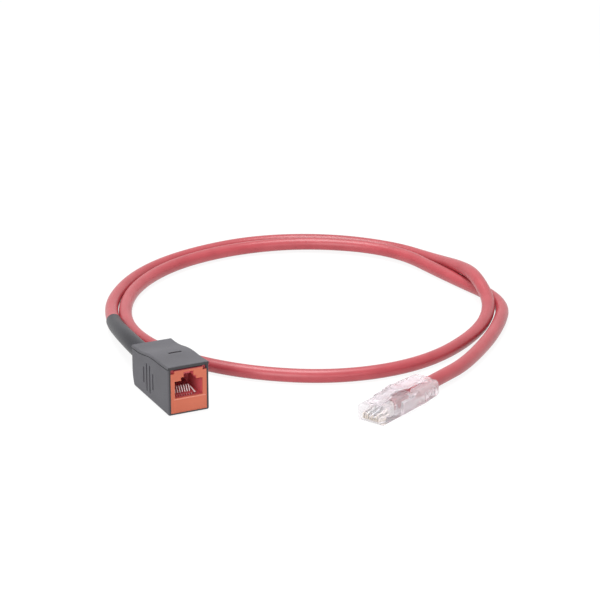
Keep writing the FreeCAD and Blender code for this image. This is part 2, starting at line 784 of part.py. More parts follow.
# Jack contacts: eight leads from the board to the front bend, and eight springs that rise to the comb
bend = front + S.bend_back
bend_level = jack_floor + S.bend_level
half_wire = S.wire_size / 2
lead_top = bend_level - half_wire - S.fit
lead_low = lead_level - half_wire
leads = new_body("contact_leads")
lead_shape = [(bend - half_wire + S.wire_size, lead_low), (board_back - S.fit * 2, lead_low),
              (board_back - S.fit * 2, lead_level + half_wire), (bend + half_wire, lead_level + half_wire),
              (bend + half_wire, lead_top), (bend - half_wire, lead_top),
              (bend - half_wire, lead_low + S.wire_size, S.wire_size)]
lead = slab(leads, "Lead", "x", row_start - half_wire, row_start + half_wire, [lead_shape])
repeat(leads, "LeadRow", [lead], "x", S.contact_pitch, CONTACTS)

springs = new_body("contact_springs")


def spring_point(along, above):
    """A point a length along the sprung beam from its bend, and a length above its middle line."""
    return (bend + cosine(S.spring_slope) * along - sine(S.spring_slope) * above,
            bend_level + sine(S.spring_slope) * along + cosine(S.spring_slope) * above)


spring_shape = [spring_point(0, -half_wire), spring_point(spring_length, -half_wire),
                spring_point(spring_length, half_wire),
                spring_point(0, half_wire) + (round_end(half_wire),)]
spring = slab(springs, "Spring", "x", row_start - half_wire, row_start + half_wire, [spring_shape])
repeat(springs, "SpringRow", [spring], "x", S.contact_pitch, CONTACTS)

# Conductors at the jack end: two per colour pair, from the jacket's end to their forks
fan_level = S.fan_half - 1
JACK_PAIRS = [("blue_pair", 1, (0, 1)), ("orange_pair", 1, (2, 3)),
              ("green_pair", -1, (0, 1)), ("brown_pair", -1, (2, 3))]
jack_pairs = []
for pair, side, posts in JACK_PAIRS:
    members = []
    for post in posts:
        place = post - 1.5
        start_x = S.core_pitch * place
        post_x = S.post_pitch * place
        points = [spot(start_x, jacket_front, cable_level + S.core_level * side),
                  spot(start_x, block_back + 0.3, cable_level + S.core_level * side),
                  spot(post_x, seat_level, cable_level + fan_level * side),
                  spot(post_x, seat_level, cable_level + (S.block_half - JOIN) * side)]
        members.append(conductor("%s_jack_wire_%d" % (pair, post + 1), points))
    jack_pairs.append(group(pair + "_at_jack", members))

# Cable clamp: the crimped ring on the jacket, held between the two cradles
clamp = new_body("cable_clamp")
slab(clamp, "ClampRing", "y", clamp_front, clamp_front + S.clamp_length,
     [(0, cable_level, clamp_radius), (0, cable_level, S.jacket_size / 2 + S.fit)])

# Cable: hand-chosen points of the route, from the housing to the plug
plug_place = (S.plug_east, S.plug_north, S.plug_heading)
heading = math.radians(S.plug_heading.value)


def beside_plug(along, level):
    """A point on the plug's centre line, a length behind its nose."""
    return Vector(S.plug_east.value + along * math.cos(heading),
                  S.plug_north.value + along * math.sin(heading), level)


RIM = 2.85
CROSSING = 14.25
FREE_POINTS = [
    (3, 52.3, 7.2), (8.2, 83.3, RIM), (18, 108.8, RIM), (40.5, 134.3, RIM),
    (71, 149.8, RIM), (107, 152.8, RIM), (139, 139.3, RIM), (161.5, 116.3, RIM), (171, 95.3, RIM),
    (171.5, 70.3, CROSSING), (165.6, 46.3, CROSSING),
    (161, 26.3, RIM), (140.5, 0.3, RIM), (104.5, -19.7, RIM), (66.5, -18.2, RIM), (34, 3.3, RIM),
    (15, 37.3, RIM), (12, 75.3, RIM), (27, 111.3, RIM), (56, 136.8, RIM), (94.5, 146.3, RIM),
    (130, 136.8, RIM), (159.5, 108.8, RIM), (166.4, 73.8, RIM), (172, 30.3, RIM),
    (151.5, 0.8, RIM), (120.5, -26.2, RIM),
]
SHARE = 0.45
PLUG_RUN = 36.0
EXIT_RUN = 19.0
exit_point = spot(0, jacket_front + EXIT_RUN, cable_level)
cable_points = [spot(0, jacket_front, cable_level), exit_point]
cable_points += [Vector(*point) for point in FREE_POINTS]
plug_level = S.plug_cable_level.value
cable_points += [beside_plug(S.jacket_end.value + PLUG_RUN, plug_level),
                 beside_plug(S.jacket_end.value, plug_level)]


def generous_bends(points):
    """The largest radius that leaves each bend its share of the shorter run beside it."""
    radii = []
    for number in range(1, len(points) - 1):
        before = points[number] - points[number - 1]
        after = points[number + 1] - points[number]
        half_turn = before.getAngle(after) / 2
        radii.append(SHARE * min(before.Length, after.Length) / math.tan(half_turn))
    return radii


cable_bends = generous_bends(cable_points)
cable_edges = route_edges(cable_points, cable_bends)
cable_length = sum(edge.Length for edge in cable_edges)
print("cable length %.1f mm" % cable_length)
print("cable bend radii", " ".join("%.0f" % radius for radius in cable_bends))
jacket_section = section("jacket_section", cable_points[0], Vector(0, 1, 0), S.jacket_size)
cable = sweep("cable_jacket", cable_edges, jacket_section)


# Strain relief: flange and neck through the rear wall, then a long taper that follows the cable
flange = doc.addObject("Part::Cylinder", "sleeve_flange_disc")
neck = doc.addObject("Part::Cylinder", "sleeve_neck_rod")
neck_end = rear + S.fit * 5
for rod, radius, start, end in ((flange, S.sleeve_flange / 2, flange_front, inner_rear - S.fit),
                                (neck, S.sleeve_neck / 2, flange_front, neck_end)):
    rod.Radius = radius.value
    rod.setExpression("Radius", radius.text)
    rod.Height = (end - start).value
    rod.setExpression("Height", (end - start).text)
    rod.Placement = Placement(spot(0, start, cable_level), Rotation(Vector(0, 0, 1), Vector(0, 1, 0)))
    rod.setExpression("Placement.Base.y", start.text)
    rod.setExpression("Placement.Base.z", cable_level.text)
sleeve_start = (rear + S.fit * 3 - jacket_front).value
sleeve_end = sleeve_start + S.sleeve_length.value
taper = frustums("sleeve_taper", cable_edges, sleeve_start, sleeve_end,
                 SLEEVE_STEPS, (S.sleeve_root, S.sleeve_tip))
bore_size = S.jacket_size + S.bore_clearance * 2
bore = frustums("sleeve_bore", cable_edges, (flange_front - jacket_front).value - 1, sleeve_end + 1,
                SLEEVE_STEPS, (bore_size, bore_size))
sleeve_form = doc.addObject("Part::MultiFuse", "sleeve_form")
sleeve_form.Shapes = [flange, neck, taper]
sleeve = doc.addObject("Part::Cut", "strain_relief_sleeve")
sleeve.Base = sleeve_form
sleeve.Tool = bore

# Plug body: its own length is x, its width y; the nose is at x = 0 and the latch on top
plug = new_body("plug_body", plug_place)
plug_half = S.plug_width / 2
slab(plug, "PlugForm", "y", -plug_half, plug_half,
     [[(0, 0.4), (0.4, 0), (S.plug_length, 0), (S.plug_length, S.tail_height), (3, S.nose_height),
       (0.5, S.nose_height), (0, S.nose_height - 0.5)]])
soften(plug, "PlugShoulders", "Chamfer", S.shoulder_chamfer,
       lambda edge, middle: near(abs(middle.y), plug_half) and middle.z > (S.nose_height - 0.1).value
       and edge.Length > 3)
slab(plug, "CableCavity", "x", S.jacket_end - 0.9, S.plug_length + JOIN,
     [box(-S.cavity_width / 2, S.cavity_width / 2, S.cavity_floor, S.cavity_floor + S.cavity_height)],
     cut=True)
wire_gap = S.conductor_size / 2 + S.fit
bar_low = S.lower_row - S.conductor_size
bar_high = S.upper_row + S.conductor_size
slab(plug, "BarCavity", "x", S.bar_front - S.fit, S.jacket_end - PAST,
     [box(-S.bar_width / 2 - S.fit, S.bar_width / 2 + S.fit, bar_low - S.fit, bar_high + S.fit)], cut=True)
core_top = S.plug_cable_level + S.core_level + wire_gap
slab(plug, "FanCavity", "x", S.bar_back, S.jacket_end - PAST,
     [box(-S.bar_width / 2 - S.fit, S.bar_width / 2 + S.fit, bar_low - S.fit, core_top + S.fit)], cut=True)


def plug_row(body, name, low, high, radius, cut):
    """Round bores for the conductors: every other one in the lower row, the rest in the upper row."""
    features = []
    for number, level in ((0, S.lower_row), (1, S.upper_row)):
        side = row_start + S.contact_pitch * number
        features.append(slab(body, "%s%d" % (name, number), "x", low, high, [(side, level, radius)], cut=cut))
    return repeat(body, name + "Row", features, "y", S.contact_pitch * 2, CONTACTS // 2)


plug_row(plug, "WireBore", S.channel_front, S.bar_front, wire_gap, True)
blade_end = S.blade_back + S.blade_length
blade_half = S.blade_wall / 2 + S.fit
blade_slots = []
for number, level in ((0, S.lower_row), (1, S.upper_row)):
    side = row_start + S.contact_pitch * number
    blade_slots.append(slab(plug, "BladeSlot%d" % number, "x", -0.2, blade_end + S.fit,
                            [box(side - blade_half, side + blade_half, -0.2, level)], cut=True))
repeat(plug, "BladeSlots", blade_slots, "y", S.contact_pitch * 2, CONTACTS // 2)
slab(plug, "CrimpWindow", "z", -0.2, S.cavity_floor + JOIN,
     [box(S.window_front, S.window_back_end, -S.window_half, S.window_half)], cut=True)

# Plug contacts: eight gold blades, four short and four tall
blades = new_body("plug_contacts", plug_place)
blade_features = []
for number, level in ((0, S.lower_row), (1, S.upper_row)):
    side = row_start + S.contact_pitch * number
    wire_bottom = level - S.conductor_size / 2
    corners = [(S.blade_back - 0.6, S.blade_low + 0.5), (S.blade_back - 0.1, S.blade_low),
               (blade_end, S.blade_low),
               (blade_end, wire_bottom), (S.blade_back - 0.6, wire_bottom)]
    blade_features.append(slab(blades, "Blade%d" % number, "y",
                               side - S.blade_wall / 2, side + S.blade_wall / 2,
                               [corners]))
repeat(blades, "BladeRow", blade_features, "y", S.contact_pitch * 2, CONTACTS // 2)

# Load bar: holds the eight conductors in their two rows
bar = new_body("load_bar", plug_place)
slab(bar, "BarForm", "x", S.bar_front, S.bar_back,
     [box(-S.bar_width / 2, S.bar_width / 2, bar_low, bar_high)])
plug_row(bar, "BarBore", S.bar_front - JOIN, S.bar_back + JOIN, wire_gap, True)

# Crimp bar: the wedge that the crimping tool pushes on to the jacket
crimp = new_body("crimp_bar", plug_place)
slab(crimp, "CrimpForm", "y", -S.window_half + S.fit * 2, S.window_half - S.fit * 2,
     [box(S.window_front + S.fit * 2, S.window_back_end - S.fit * 2, S.fit, S.cavity_floor + 0.1)])

# Conductors at the plug end: from the jacket's end into the two rows of the load bar
PLUG_PAIRS = [("orange_pair", (0, 1)), ("green_pair", (2, 5)), ("blue_pair", (3, 4)), ("brown_pair", (6, 7))]
plug_pairs = []
for pair, seats in PLUG_PAIRS:
    members = []
    for seat in seats:
        place = seat // 2 - 1.5
        upper = seat % 2
        start = S.core_pitch * place
        start_level = S.plug_cable_level + S.core_level * (1 if upper else -1)
        end_level = S.upper_row if upper else S.lower_row
        side = row_start + S.contact_pitch * seat
        points = [spot(S.jacket_end, start, start_level), spot(S.jacket_end - 0.7, start, start_level),
                  spot(S.bar_back + 0.5, side, end_level), spot(S.channel_front + JOIN, side, end_level)]
        members.append(conductor("%s_plug_wire_%d" % (pair, seat + 1), points))
    pair_group = group(pair + "_at_plug", members)
    stand(pair_group, plug_place)
    plug_pairs.append(pair_group)

# Plug latch: hinged at the nose, wide as far as its shoulders, then a narrow thumb tail
latch = new_body("plug_latch", plug_place)
rise = sine(S.latch_slope) / cosine(S.latch_slope)
hinge_radius = S.latch_wall / 2
tail_end = S.hinge_front + S.latch_length


def latch_line(along, side):
    """A corner of the latch's top (side 1) or underside (side -1), a length behind the hinge."""
    return (S.hinge_front + along, S.hinge_level + rise * along + hinge_radius * side)


slab(latch, "LatchWide", "y", -S.latch_width / 2, S.latch_width / 2,
     [[latch_line(0, 1) + (-round_end(hinge_radius),), latch_line(0, -1), latch_line(S.latch_shoulder, -1),
       latch_line(S.latch_shoulder, 1)]])
slab(latch, "LatchTail", "y", -S.latch_tail_width / 2, S.latch_tail_width / 2,
     [[latch_line(S.latch_shoulder - 0.5, -1), latch_line(S.latch_length, -1), latch_line(S.latch_length, 1),
       latch_line(S.latch_shoulder - 0.5, 1)]])

# Plug boot: a sleeve over the plug's tail with a hump behind, a bore for the cable and side ribs
boot = new_body("plug_boot", plug_place)
boot_half = plug_half + S.fit * 2 + S.boot_wall
slab(boot, "BootForm", "x", S.boot_front, S.boot_end, [box(-boot_half, boot_half, 0, S.boot_roof)])
hump_end = S.boot_end - 0.4
slab(boot, "BootHump", "y", -S.hood_width / 2, S.hood_width / 2,
     [[(S.hump_front, S.boot_roof - 0.3), (hump_end, S.boot_roof - 0.3), (hump_end, S.boot_roof),
       (S.hump_front + 0.8, S.hump_height), (S.hump_front, S.hump_height)]])
soften(boot, "BootCorners", "Fillet", S.boot_round,
       lambda edge, middle: near(abs(middle.y), boot_half) and edge.Length > LONG_EDGE
       and (near(middle.z, 0) or near(middle.z, S.boot_roof)))
slab(boot, "PlugSeat", "x", S.boot_front - JOIN, S.plug_length + S.fit * 2,
     [[(-plug_half - S.fit * 2, -0.2), (plug_half + S.fit * 2, -0.2),
       (plug_half + S.fit * 2, S.tail_height - S.shoulder_chamfer + S.fit * 2),
       (plug_half + S.fit * 2 - S.shoulder_chamfer, S.tail_height + S.fit * 2),
       (-plug_half - S.fit * 2 + S.shoulder_chamfer, S.tail_height + S.fit * 2),
       (-plug_half - S.fit * 2, S.tail_height - S.shoulder_chamfer + S.fit * 2)]], cut=True)
slab(boot, "CableBore", "x", S.plug_length - JOIN, S.boot_end + JOIN,
     [(0, S.plug_cable_level, S.jacket_size / 2 + S.bore_clearance)], cut=True)
slot_end = S.hood_hinge - S.slot_margin
slab(boot, "LatchSlot", "x", S.boot_front - JOIN, slot_end,
     [box(-S.boot_slot / 2, S.boot_slot / 2, S.tail_height + S.fit * 2, S.boot_roof + JOIN)], cut=True)
rib = slab(boot, "RibGroove", "x", S.rib_front, S.rib_front + S.rib_wall,
           [box(boot_half - S.rib_depth, boot_half + JOIN, S.rib_low, S.boot_roof - S.boot_round),
            box(-boot_half - JOIN, -boot_half + S.rib_depth, S.rib_low, S.boot_roof - S.boot_round)],
           cut=True)
repeat(boot, "RibGrooves", [rib], "x", S.rib_pitch, 4)
cheek = slab(boot, "Cheek", "z", -S.fit, S.hump_height,
             [[(S.taper_front, boot_half), (S.boot_end + JOIN, boot_half - S.taper_side),
               (S.boot_end + JOIN, boot_half + JOIN), (S.taper_front, boot_half + JOIN)]], cut=True)
mirror(boot, "Cheeks", [cheek], "XZ_Plane")
slab(boot, "Heel", "y", -boot_half, boot_half,
     [[(S.taper_front, 0), (S.taper_front, -JOIN), (S.boot_end + JOIN, -JOIN),
       (S.boot_end + JOIN, S.taper_rise)]],
     cut=True)

# Boot hood: the arched tongue over the latch, hinged at the hump, that keeps the latch from snagging
hood = new_body("boot_hood", plug_place)
knuckle = S.hood_wall / 2 + 0.1
hood_tip_under = S.hood_tip_level - S.hood_wall
slab(hood, "HoodPlate", "y", -S.hood_width / 2, S.hood_width / 2,
     [[(S.hood_hinge, S.hood_hinge_level + knuckle), (S.hood_dip, S.hood_dip_level),
       (S.hood_crest, S.hood_crest_level), (S.hood_front, S.hood_tip_level), (S.hood_front, hood_tip_under),
       (S.hood_crest, S.hood_crest_level - S.hood_wall), (S.hood_dip, S.hood_dip_level - S.hood_wall),
       (S.hood_hinge, S.hood_hinge_level - knuckle, round_end(knuckle))]])
skirt_side = S.hood_width / 2
hood_skirt = slab(hood, "HoodSkirt", "y", skirt_side - S.hood_wall, skirt_side,
                  [[(S.hood_dip, S.hood_dip_level - S.hood_wall / 2),
                    (S.hood_crest, S.hood_crest_level - S.hood_wall / 2),
                    (S.hood_front, S.hood_tip_level - S.hood_wall / 2),
                    (S.hood_front, hood_tip_under - S.hood_skirt),
                    (S.hood_dip, S.hood_dip_level - S.hood_wall)]])
mirror(hood, "HoodSkirts", [hood_skirt], "XZ_Plane")

doc.recompute()

NODES = [housing, cover, jack, carrier, leads, springs, board, block, forks, cap, clamp,
         sleeve, cable, plug, blades, bar, crimp, latch, boot, hood] + jack_pairs + plug_pairs

for item in doc.Objects:
    if "Invalid" in item.State or "Error" in item.State:
        raise RuntimeError("%s failed: %s" % (item.Name, item.State))
os.makedirs("parts", exist_ok=True)
round_area = math.pi * S.jacket_size.value ** 2 / 4
print("cable volume against section times length: %.5f" % (cable.Shape.Volume / (round_area * cable_length)))
for node in NODES:
    if node.Shape.isNull() or not node.Shape.isValid():
        raise RuntimeError("%s has no valid shape" % node.Label)
for node in NODES:
    node.Shape.exportStep("parts/%s.step" % node.Label)
    print("%-24s %2d solids %10.2f mm3" % (node.Label, len(node.Shape.Solids), node.Shape.Volume))
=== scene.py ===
import logging
import math
from dataclasses import dataclass, field
from enum import Enum
from typing import Any, Optional, Sequence

import bpy
import numpy as np
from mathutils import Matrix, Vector


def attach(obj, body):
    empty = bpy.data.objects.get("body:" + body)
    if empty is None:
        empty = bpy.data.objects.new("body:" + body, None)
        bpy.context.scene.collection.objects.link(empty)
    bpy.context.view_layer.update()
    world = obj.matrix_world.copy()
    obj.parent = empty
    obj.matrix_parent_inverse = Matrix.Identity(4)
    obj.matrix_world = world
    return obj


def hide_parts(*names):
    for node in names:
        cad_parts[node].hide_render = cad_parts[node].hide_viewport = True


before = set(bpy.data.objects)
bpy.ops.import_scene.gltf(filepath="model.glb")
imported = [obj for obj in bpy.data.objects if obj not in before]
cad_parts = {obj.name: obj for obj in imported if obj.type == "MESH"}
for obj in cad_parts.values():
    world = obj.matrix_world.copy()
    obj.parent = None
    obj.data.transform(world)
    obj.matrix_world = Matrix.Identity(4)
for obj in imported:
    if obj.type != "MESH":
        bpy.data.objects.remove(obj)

log = logging.getLogger("patch_cable")
Colour = tuple[float, float, float]
Point = tuple[float, float, float]
Span = tuple[float, float]
Stations = tuple[float, float, int]

MM = 0.001
SHARP_ANGLE = math.radians(40)

# A share over this counts as a whole one, and two shares closer than the hair are the same.
WHOLE = 0.99
HAIR = 0.001

# The shared grain: how fine its two noises are, and which values of the slow one reach from dark to light.
CLOUD_DETAIL = 3.0
GRAIN_DETAIL = 2.0
CLOUD_RANGE: Span = (0.3, 0.7)
NOISE_MIDDLE = 0.5

# The tint of a clear wall's edge: from where to where it sets in as the wall turns from the eye.
EDGE_BLEND = 0.5
EDGE_RANGE: Span = (0.45, 0.95)


class Surface(Enum):
    """The kinds of surface that the cable's pieces have."""

    SOLID = "solid"
    CLEAR = "clear"
    METAL = "metal"


def linear(red: int, green: int, blue: int) -> Colour:
    """Turns an 8-bit screen colour into the linear values that shaders take.

    Args:
        red: Red from 0 to 255.
        green: Green from 0 to 255.
        blue: Blue from 0 to 255.

    Returns:
        The three linear values from 0 to 1.
    """
    share = np.array([red, green, blue]) / 255.0
    curve = np.where(share <= 0.04045, share / 12.92, ((share + 0.055) / 1.055) ** 2.4)
    return (float(curve[0]), float(curve[1]), float(curve[2]))


def add_node(tree: bpy.types.NodeTree, kind: str, inputs: Optional[dict[Any, Any]] = None,
             **settings: Any) -> bpy.types.Node:
    """Adds a shader node, with its own settings first and then its fixed inputs.

    Args:
        tree: The node tree.
        kind: The node's type.
        inputs: The fixed value of each input that has one.
        **settings: The node's own settings.

    Returns:
        The new node.
    """
    node = tree.nodes.new(kind)
    for name, value in settings.items():
        setattr(node, name, value)
    for socket, value in (inputs or {}).items():
        node.inputs[socket].default_value = value
    return node


def blend_with(tree: bpy.types.NodeTree, share: bpy.types.NodeSocket, colour: bpy.types.NodeSocket,
               other: Colour) -> bpy.types.NodeSocket:
    """Blends a colour with a fixed one.

    Args:
        tree: The material's node tree.
        share: How much of the other colour shows.
        colour: The first colour.
        other: The other colour.

    Returns:
        The blended colour.
    """
    blend = add_node(tree, "ShaderNodeMix", data_type="RGBA")
    blend.inputs["B"].default_value = (*other, 1.0)
    tree.links.new(share, blend.inputs["Factor"])
    tree.links.new(colour, blend.inputs["A"])
    return blend.outputs["Result"]


def seen_rays(tree: bpy.types.NodeTree) -> bpy.types.NodeSocket:
    """Picks out the rays that show the background: the largest of three Light Path outputs.

    Args:
        tree: The node tree.

    Returns:
        1 for a ray from the camera, off a gloss or through a clear wall, and 0 for the others.
    """
    path = add_node(tree, "ShaderNodeLightPath")
    seen = path.outputs["Is Camera Ray"]
    for kind in ("Is Glossy Ray", "Is Transmission Ray"):
        larger = add_node(tree, "ShaderNodeMath", operation="MAXIMUM")
        tree.links.new(seen, larger.inputs[0])
        tree.links.new(path.outputs[kind], larger.inputs[1])
        seen = larger.outputs[0]
    return seen


def grain_group() -> bpy.types.NodeTree:
    """Builds the shared grain: two noises on object coordinates.

    The slow noise shades the colour between a dark and a light value, and the
    fine noise gives the height of the moulded grain and varies the roughness.

    Returns:
        The node group, with colours, roughness and height as outputs.
    """
    found = bpy.data.node_groups.get("moulded_grain")
    if found:
        return found
    group = bpy.data.node_groups.new("moulded_grain", "ShaderNodeTree")
    for side, name, kind in (
        ("INPUT", "Dark", "NodeSocketColor"),
        ("INPUT", "Light", "NodeSocketColor"),
        ("INPUT", "Roughness", "NodeSocketFloat"),
        ("INPUT", "Roughness Spread", "NodeSocketFloat"),
        ("INPUT", "Cloud Scale", "NodeSocketFloat"),
        ("INPUT", "Grain Scale", "NodeSocketFloat"),
        ("OUTPUT", "Colour", "NodeSocketColor"),
        ("OUTPUT", "Roughness", "NodeSocketFloat"),
        ("OUTPUT", "Height", "NodeSocketFloat"),
    ):
        group.interface.new_socket(name, in_out=side, socket_type=kind)
    given = add_node(group, "NodeGroupInput")
    result = add_node(group, "NodeGroupOutput")
    place = add_node(group, "ShaderNodeTexCoord")
    cloud = add_node(group, "ShaderNodeTexNoise", {"Detail": CLOUD_DETAIL})
    grain = add_node(group, "ShaderNodeTexNoise", {"Detail": GRAIN_DETAIL})
    spread = add_node(group, "ShaderNodeMapRange", {"From Min": CLOUD_RANGE[0], "From Max": CLOUD_RANGE[1]})
    blend = add_node(group, "ShaderNodeMix", data_type="RGBA")
    lift = add_node(group, "ShaderNodeMath", {1: NOISE_MIDDLE}, operation="SUBTRACT")
    rough = add_node(group, "ShaderNodeMath", operation="MULTIPLY_ADD")
    for start, end in (
        (place.outputs["Object"], cloud.inputs["Vector"]),
        (place.outputs["Object"], grain.inputs["Vector"]),
        (given.outputs["Cloud Scale"], cloud.inputs["Scale"]),
        (given.outputs["Grain Scale"], grain.inputs["Scale"]),
        (cloud.outputs["Fac"], spread.inputs["Value"]),
        (spread.outputs["Result"], blend.inputs["Factor"]),
        (given.outputs["Dark"], blend.inputs["A"]),
        (given.outputs["Light"], blend.inputs["B"]),
        (blend.outputs["Result"], result.inputs["Colour"]),
        (grain.outputs["Fac"], lift.inputs[0]),
        (lift.outputs[0], rough.inputs[0]),
        (given.outputs["Roughness Spread"], rough.inputs[1]),
        (given.outputs["Roughness"], rough.inputs[2]),
        (rough.outputs[0], result.inputs["Roughness"]),
        (grain.outputs["Fac"], result.inputs["Height"]),
    ):
        group.links.new(start, end)
    return group


@dataclass(frozen=True)
class Band:
    """A second colour that takes over along one axis of the object, from a start to an end in millimetres: a painted
    shade or a painted highlight.
    """

    axis: str
    start: float
    end: float
    colour: Colour


@dataclass(frozen=True)
class Finish:
    """One finish of the object: its colours, gloss, grain and kind of surface."""

    name: str
    dark: Colour
    light: Colour
    kind: Surface = Surface.SOLID
    roughness: float = 0.5
    roughness_spread: float = 0.1
    cloud_scale: float = 60.0
    grain_scale: float = 2500.0
    grain_depth: float = 0.00002
    specular: float = 0.5
    coat: float = 0.0
    coat_roughness: float = 0.1
    ior: float = 1.5
    clear: float = 0.0
    # Painted shade and painted highlights, each one a band along one axis.
    painted_light_bands: tuple[Band, ...] = ()
    edge: Optional[Colour] = None

    def paint_band(self, tree: bpy.types.NodeTree, colour: bpy.types.NodeSocket,
                   band: Band) -> bpy.types.NodeSocket:
        """Turns the colour into the band's own between the band's start and end, which paints shade or a highlight
        along one axis.

        Args:
            tree: The material's node tree.
            colour: The colour before the band.
            band: The band.

        Returns:
            The blended colour.
        """
        place = add_node(tree, "ShaderNodeTexCoord")
        parts = add_node(tree, "ShaderNodeSeparateXYZ")
        share = add_node(tree, "ShaderNodeMapRange", {"From Min": band.start * MM, "From Max": band.end * MM},
                         interpolation_type="SMOOTHSTEP")
        tree.links.new(place.outputs["Object"], parts.inputs[0])
        tree.links.new(parts.outputs[band.axis], share.inputs["Value"])
        return blend_with(tree, share.outputs["Result"], colour, band.colour)

    def tint_edges(self, tree: bpy.types.NodeTree, colour: bpy.types.NodeSocket) -> bpy.types.NodeSocket:
        """Turns the colour into the edge colour where the surface is seen at a low angle.

        Args:
            tree: The material's node tree.
            colour: The colour that faces the eye.

        Returns:
            The blended colour.
        """
        weight = add_node(tree, "ShaderNodeLayerWeight", {"Blend": EDGE_BLEND})
        share = add_node(tree, "ShaderNodeMapRange", {"From Min": EDGE_RANGE[0], "From Max": EDGE_RANGE[1]})
        tree.links.new(weight.outputs["Facing"], share.inputs["Value"])
        return blend_with(tree, share.outputs["Result"], colour, self.edge)

    def material(self) -> bpy.types.Material:
        """Builds the finish's material, or gives it back if it is there already.

        Returns:
            The material, all of it from shader nodes.
        """
        found = bpy.data.materials.get(self.name)
        if found:
            return found
        material = bpy.data.materials.new(self.name)
        material.use_nodes = True
        tree = material.node_tree
        shader = tree.nodes["Principled BSDF"]
        grain = add_node(tree, "ShaderNodeGroup", {
            "Dark": (*self.dark, 1.0),
            "Light": (*self.light, 1.0),
            "Roughness": self.roughness,
            "Roughness Spread": self.roughness_spread,
            "Cloud Scale": self.cloud_scale,
            "Grain Scale": self.grain_scale,
        }, node_tree=grain_group())
        colour = grain.outputs["Colour"]
        for band in self.painted_light_bands:
            colour = self.paint_band(tree, colour, band)
        if self.edge:
            colour = self.tint_edges(tree, colour)
        bump = add_node(tree, "ShaderNodeBump", {"Strength": 1.0, "Distance": self.grain_depth})
        for start, end in (
            (colour, shader.inputs["Base Color"]),
            (grain.outputs["Roughness"], shader.inputs["Roughness"]),
            (grain.outputs["Height"], bump.inputs["Height"]),
            (bump.outputs["Normal"], shader.inputs["Normal"]),
        ):
            tree.links.new(start, end)
        for socket, value in (
            ("Specular IOR Level", self.specular),
            ("IOR", self.ior),
            ("Coat Weight", self.coat),
            ("Coat Roughness", self.coat_roughness),
            ("Transmission Weight", self.clear if self.kind is Surface.CLEAR else 0.0),
            ("Metallic", 1.0 if self.kind is Surface.METAL else 0.0),
        ):
            shader.inputs[socket].default_value = value
        return material


def insulation(name: str, dark: Colour, light: Colour) -> Finish:
    """The smooth plastic of one colour round the conductors."""
    return Finish(f"{name}_insulation", dark, light, roughness=0.4)


class Finishes:
    """Every finish of the patch cable, named by where it is used."""

    jacket = Finish("red_jacket", linear(164, 52, 61), linear(177, 66, 74), roughness=0.4, roughness_spread=0.12,
                    cloud_scale=90.0, grain_scale=1400.0, grain_depth=0.00001, coat=0.35, coat_roughness=0.38)
    # The housing's band darkens the rim's front face: painted shade.
    housing = Finish("grey_housing", linear(75, 74, 79), linear(86, 85, 91), roughness=0.55, roughness_spread=0.25,
                     grain_scale=3500.0, grain_depth=0.00003, painted_light_bands=(Band("Y", -18.48, -18.66, linear(48, 47, 50)),))
    jack_face = Finish("orange_jack_face", linear(190, 95, 68), linear(200, 105, 78), roughness_spread=0.15,
                       # Deeper than the face the colour turns red: painted shade inside the port.
                       grain_scale=2600.0, painted_light_bands=(Band("Y", -18.55, -18.0, linear(210, 94, 100)),
                                                  # Above 18.3 mm the face turns dark red: a painted shadow under the
                                                  # housing's lip.
                                                  Band("Z", 18.3, 18.5, linear(150, 48, 58))))
    # The pale band along the plate's top edge is a painted highlight on the ridge under the port.
    plate = Finish("orange_jack_plate", linear(192, 97, 70), linear(202, 107, 80), roughness_spread=0.15,
                   grain_scale=2600.0, painted_light_bands=(Band("Z", 6.5, 6.62, linear(222, 150, 134)),))
    insert = Finish("red_contact_insert", linear(204, 80, 88), linear(214, 92, 98))
    lead = Finish("copper_lead", linear(220, 112, 108), linear(228, 122, 116), Surface.METAL,
                  grain_scale=4000.0, grain_depth=0.000004)
    # The wires turn dark red deeper in the port: painted shade.
    wire = Finish("bright_contact_wire", linear(250, 240, 238), linear(255, 250, 248), roughness=0.3,
                  grain_scale=4000.0, grain_depth=0.000004, coat=0.5, coat_roughness=0.15,
                  painted_light_bands=(Band("Y", -12.8, -11.0, linear(156, 66, 72)),))
    board = Finish("green_board", linear(24, 74, 44), linear(34, 92, 56), roughness=0.35)
    forks = Finish("bright_fork_metal", linear(190, 190, 192), linear(214, 214, 216), Surface.METAL, roughness=0.3,
                   grain_depth=0.000004)
    sleeve = Finish("black_sleeve", linear(24, 23, 30), linear(34, 33, 41), roughness=0.4, roughness_spread=0.16,
                    grain_scale=2200.0, specular=0.2, coat=0.12, coat_roughness=0.25)
    clear = Finish("clear_plug_plastic", linear(246, 243, 245), linear(253, 251, 253), Surface.CLEAR, roughness=0.13,
                   roughness_spread=0.04, cloud_scale=420.0, grain_scale=1200.0, ior=1.1, clear=0.79,
                   edge=linear(182, 168, 175))
    milky = Finish("milky_bar_plastic", linear(250, 244, 242), linear(255, 252, 250), Surface.CLEAR, roughness=0.3,
                   grain_scale=900.0, grain_depth=0.00001, ior=1.2, clear=0.1, edge=linear(236, 228, 226))
    boot = Finish("milky_boot_plastic", linear(251, 241, 245), linear(255, 254, 255), Surface.CLEAR, roughness=0.1,
                  cloud_scale=330.0, grain_scale=1200.0, ior=1.16, clear=0.73, edge=linear(218, 194, 203))
    blades = Finish("pale_gold_blade", linear(246, 232, 208), linear(252, 240, 220), roughness=0.35,
                    grain_scale=4000.0, grain_depth=0.000004)
    blue = insulation("blue", linear(52, 92, 168), linear(66, 108, 184))
    orange = insulation("orange", linear(226, 128, 52), linear(236, 144, 66))
    green = insulation("green", linear(58, 138, 76), linear(72, 152, 90))
    brown = insulation("brown", linear(120, 78, 54), linear(136, 92, 66))
    pale_blue = insulation("pale_blue", linear(240, 243, 248), linear(246, 249, 253))
    pale_orange = insulation("pale_orange", linear(252, 242, 234), linear(255, 247, 240))
    pale_green = insulation("pale_green", linear(241, 247, 243), linear(247, 252, 248))
    pale_brown = insulation("pale_brown", linear(247, 240, 235), linear(252, 246, 241))


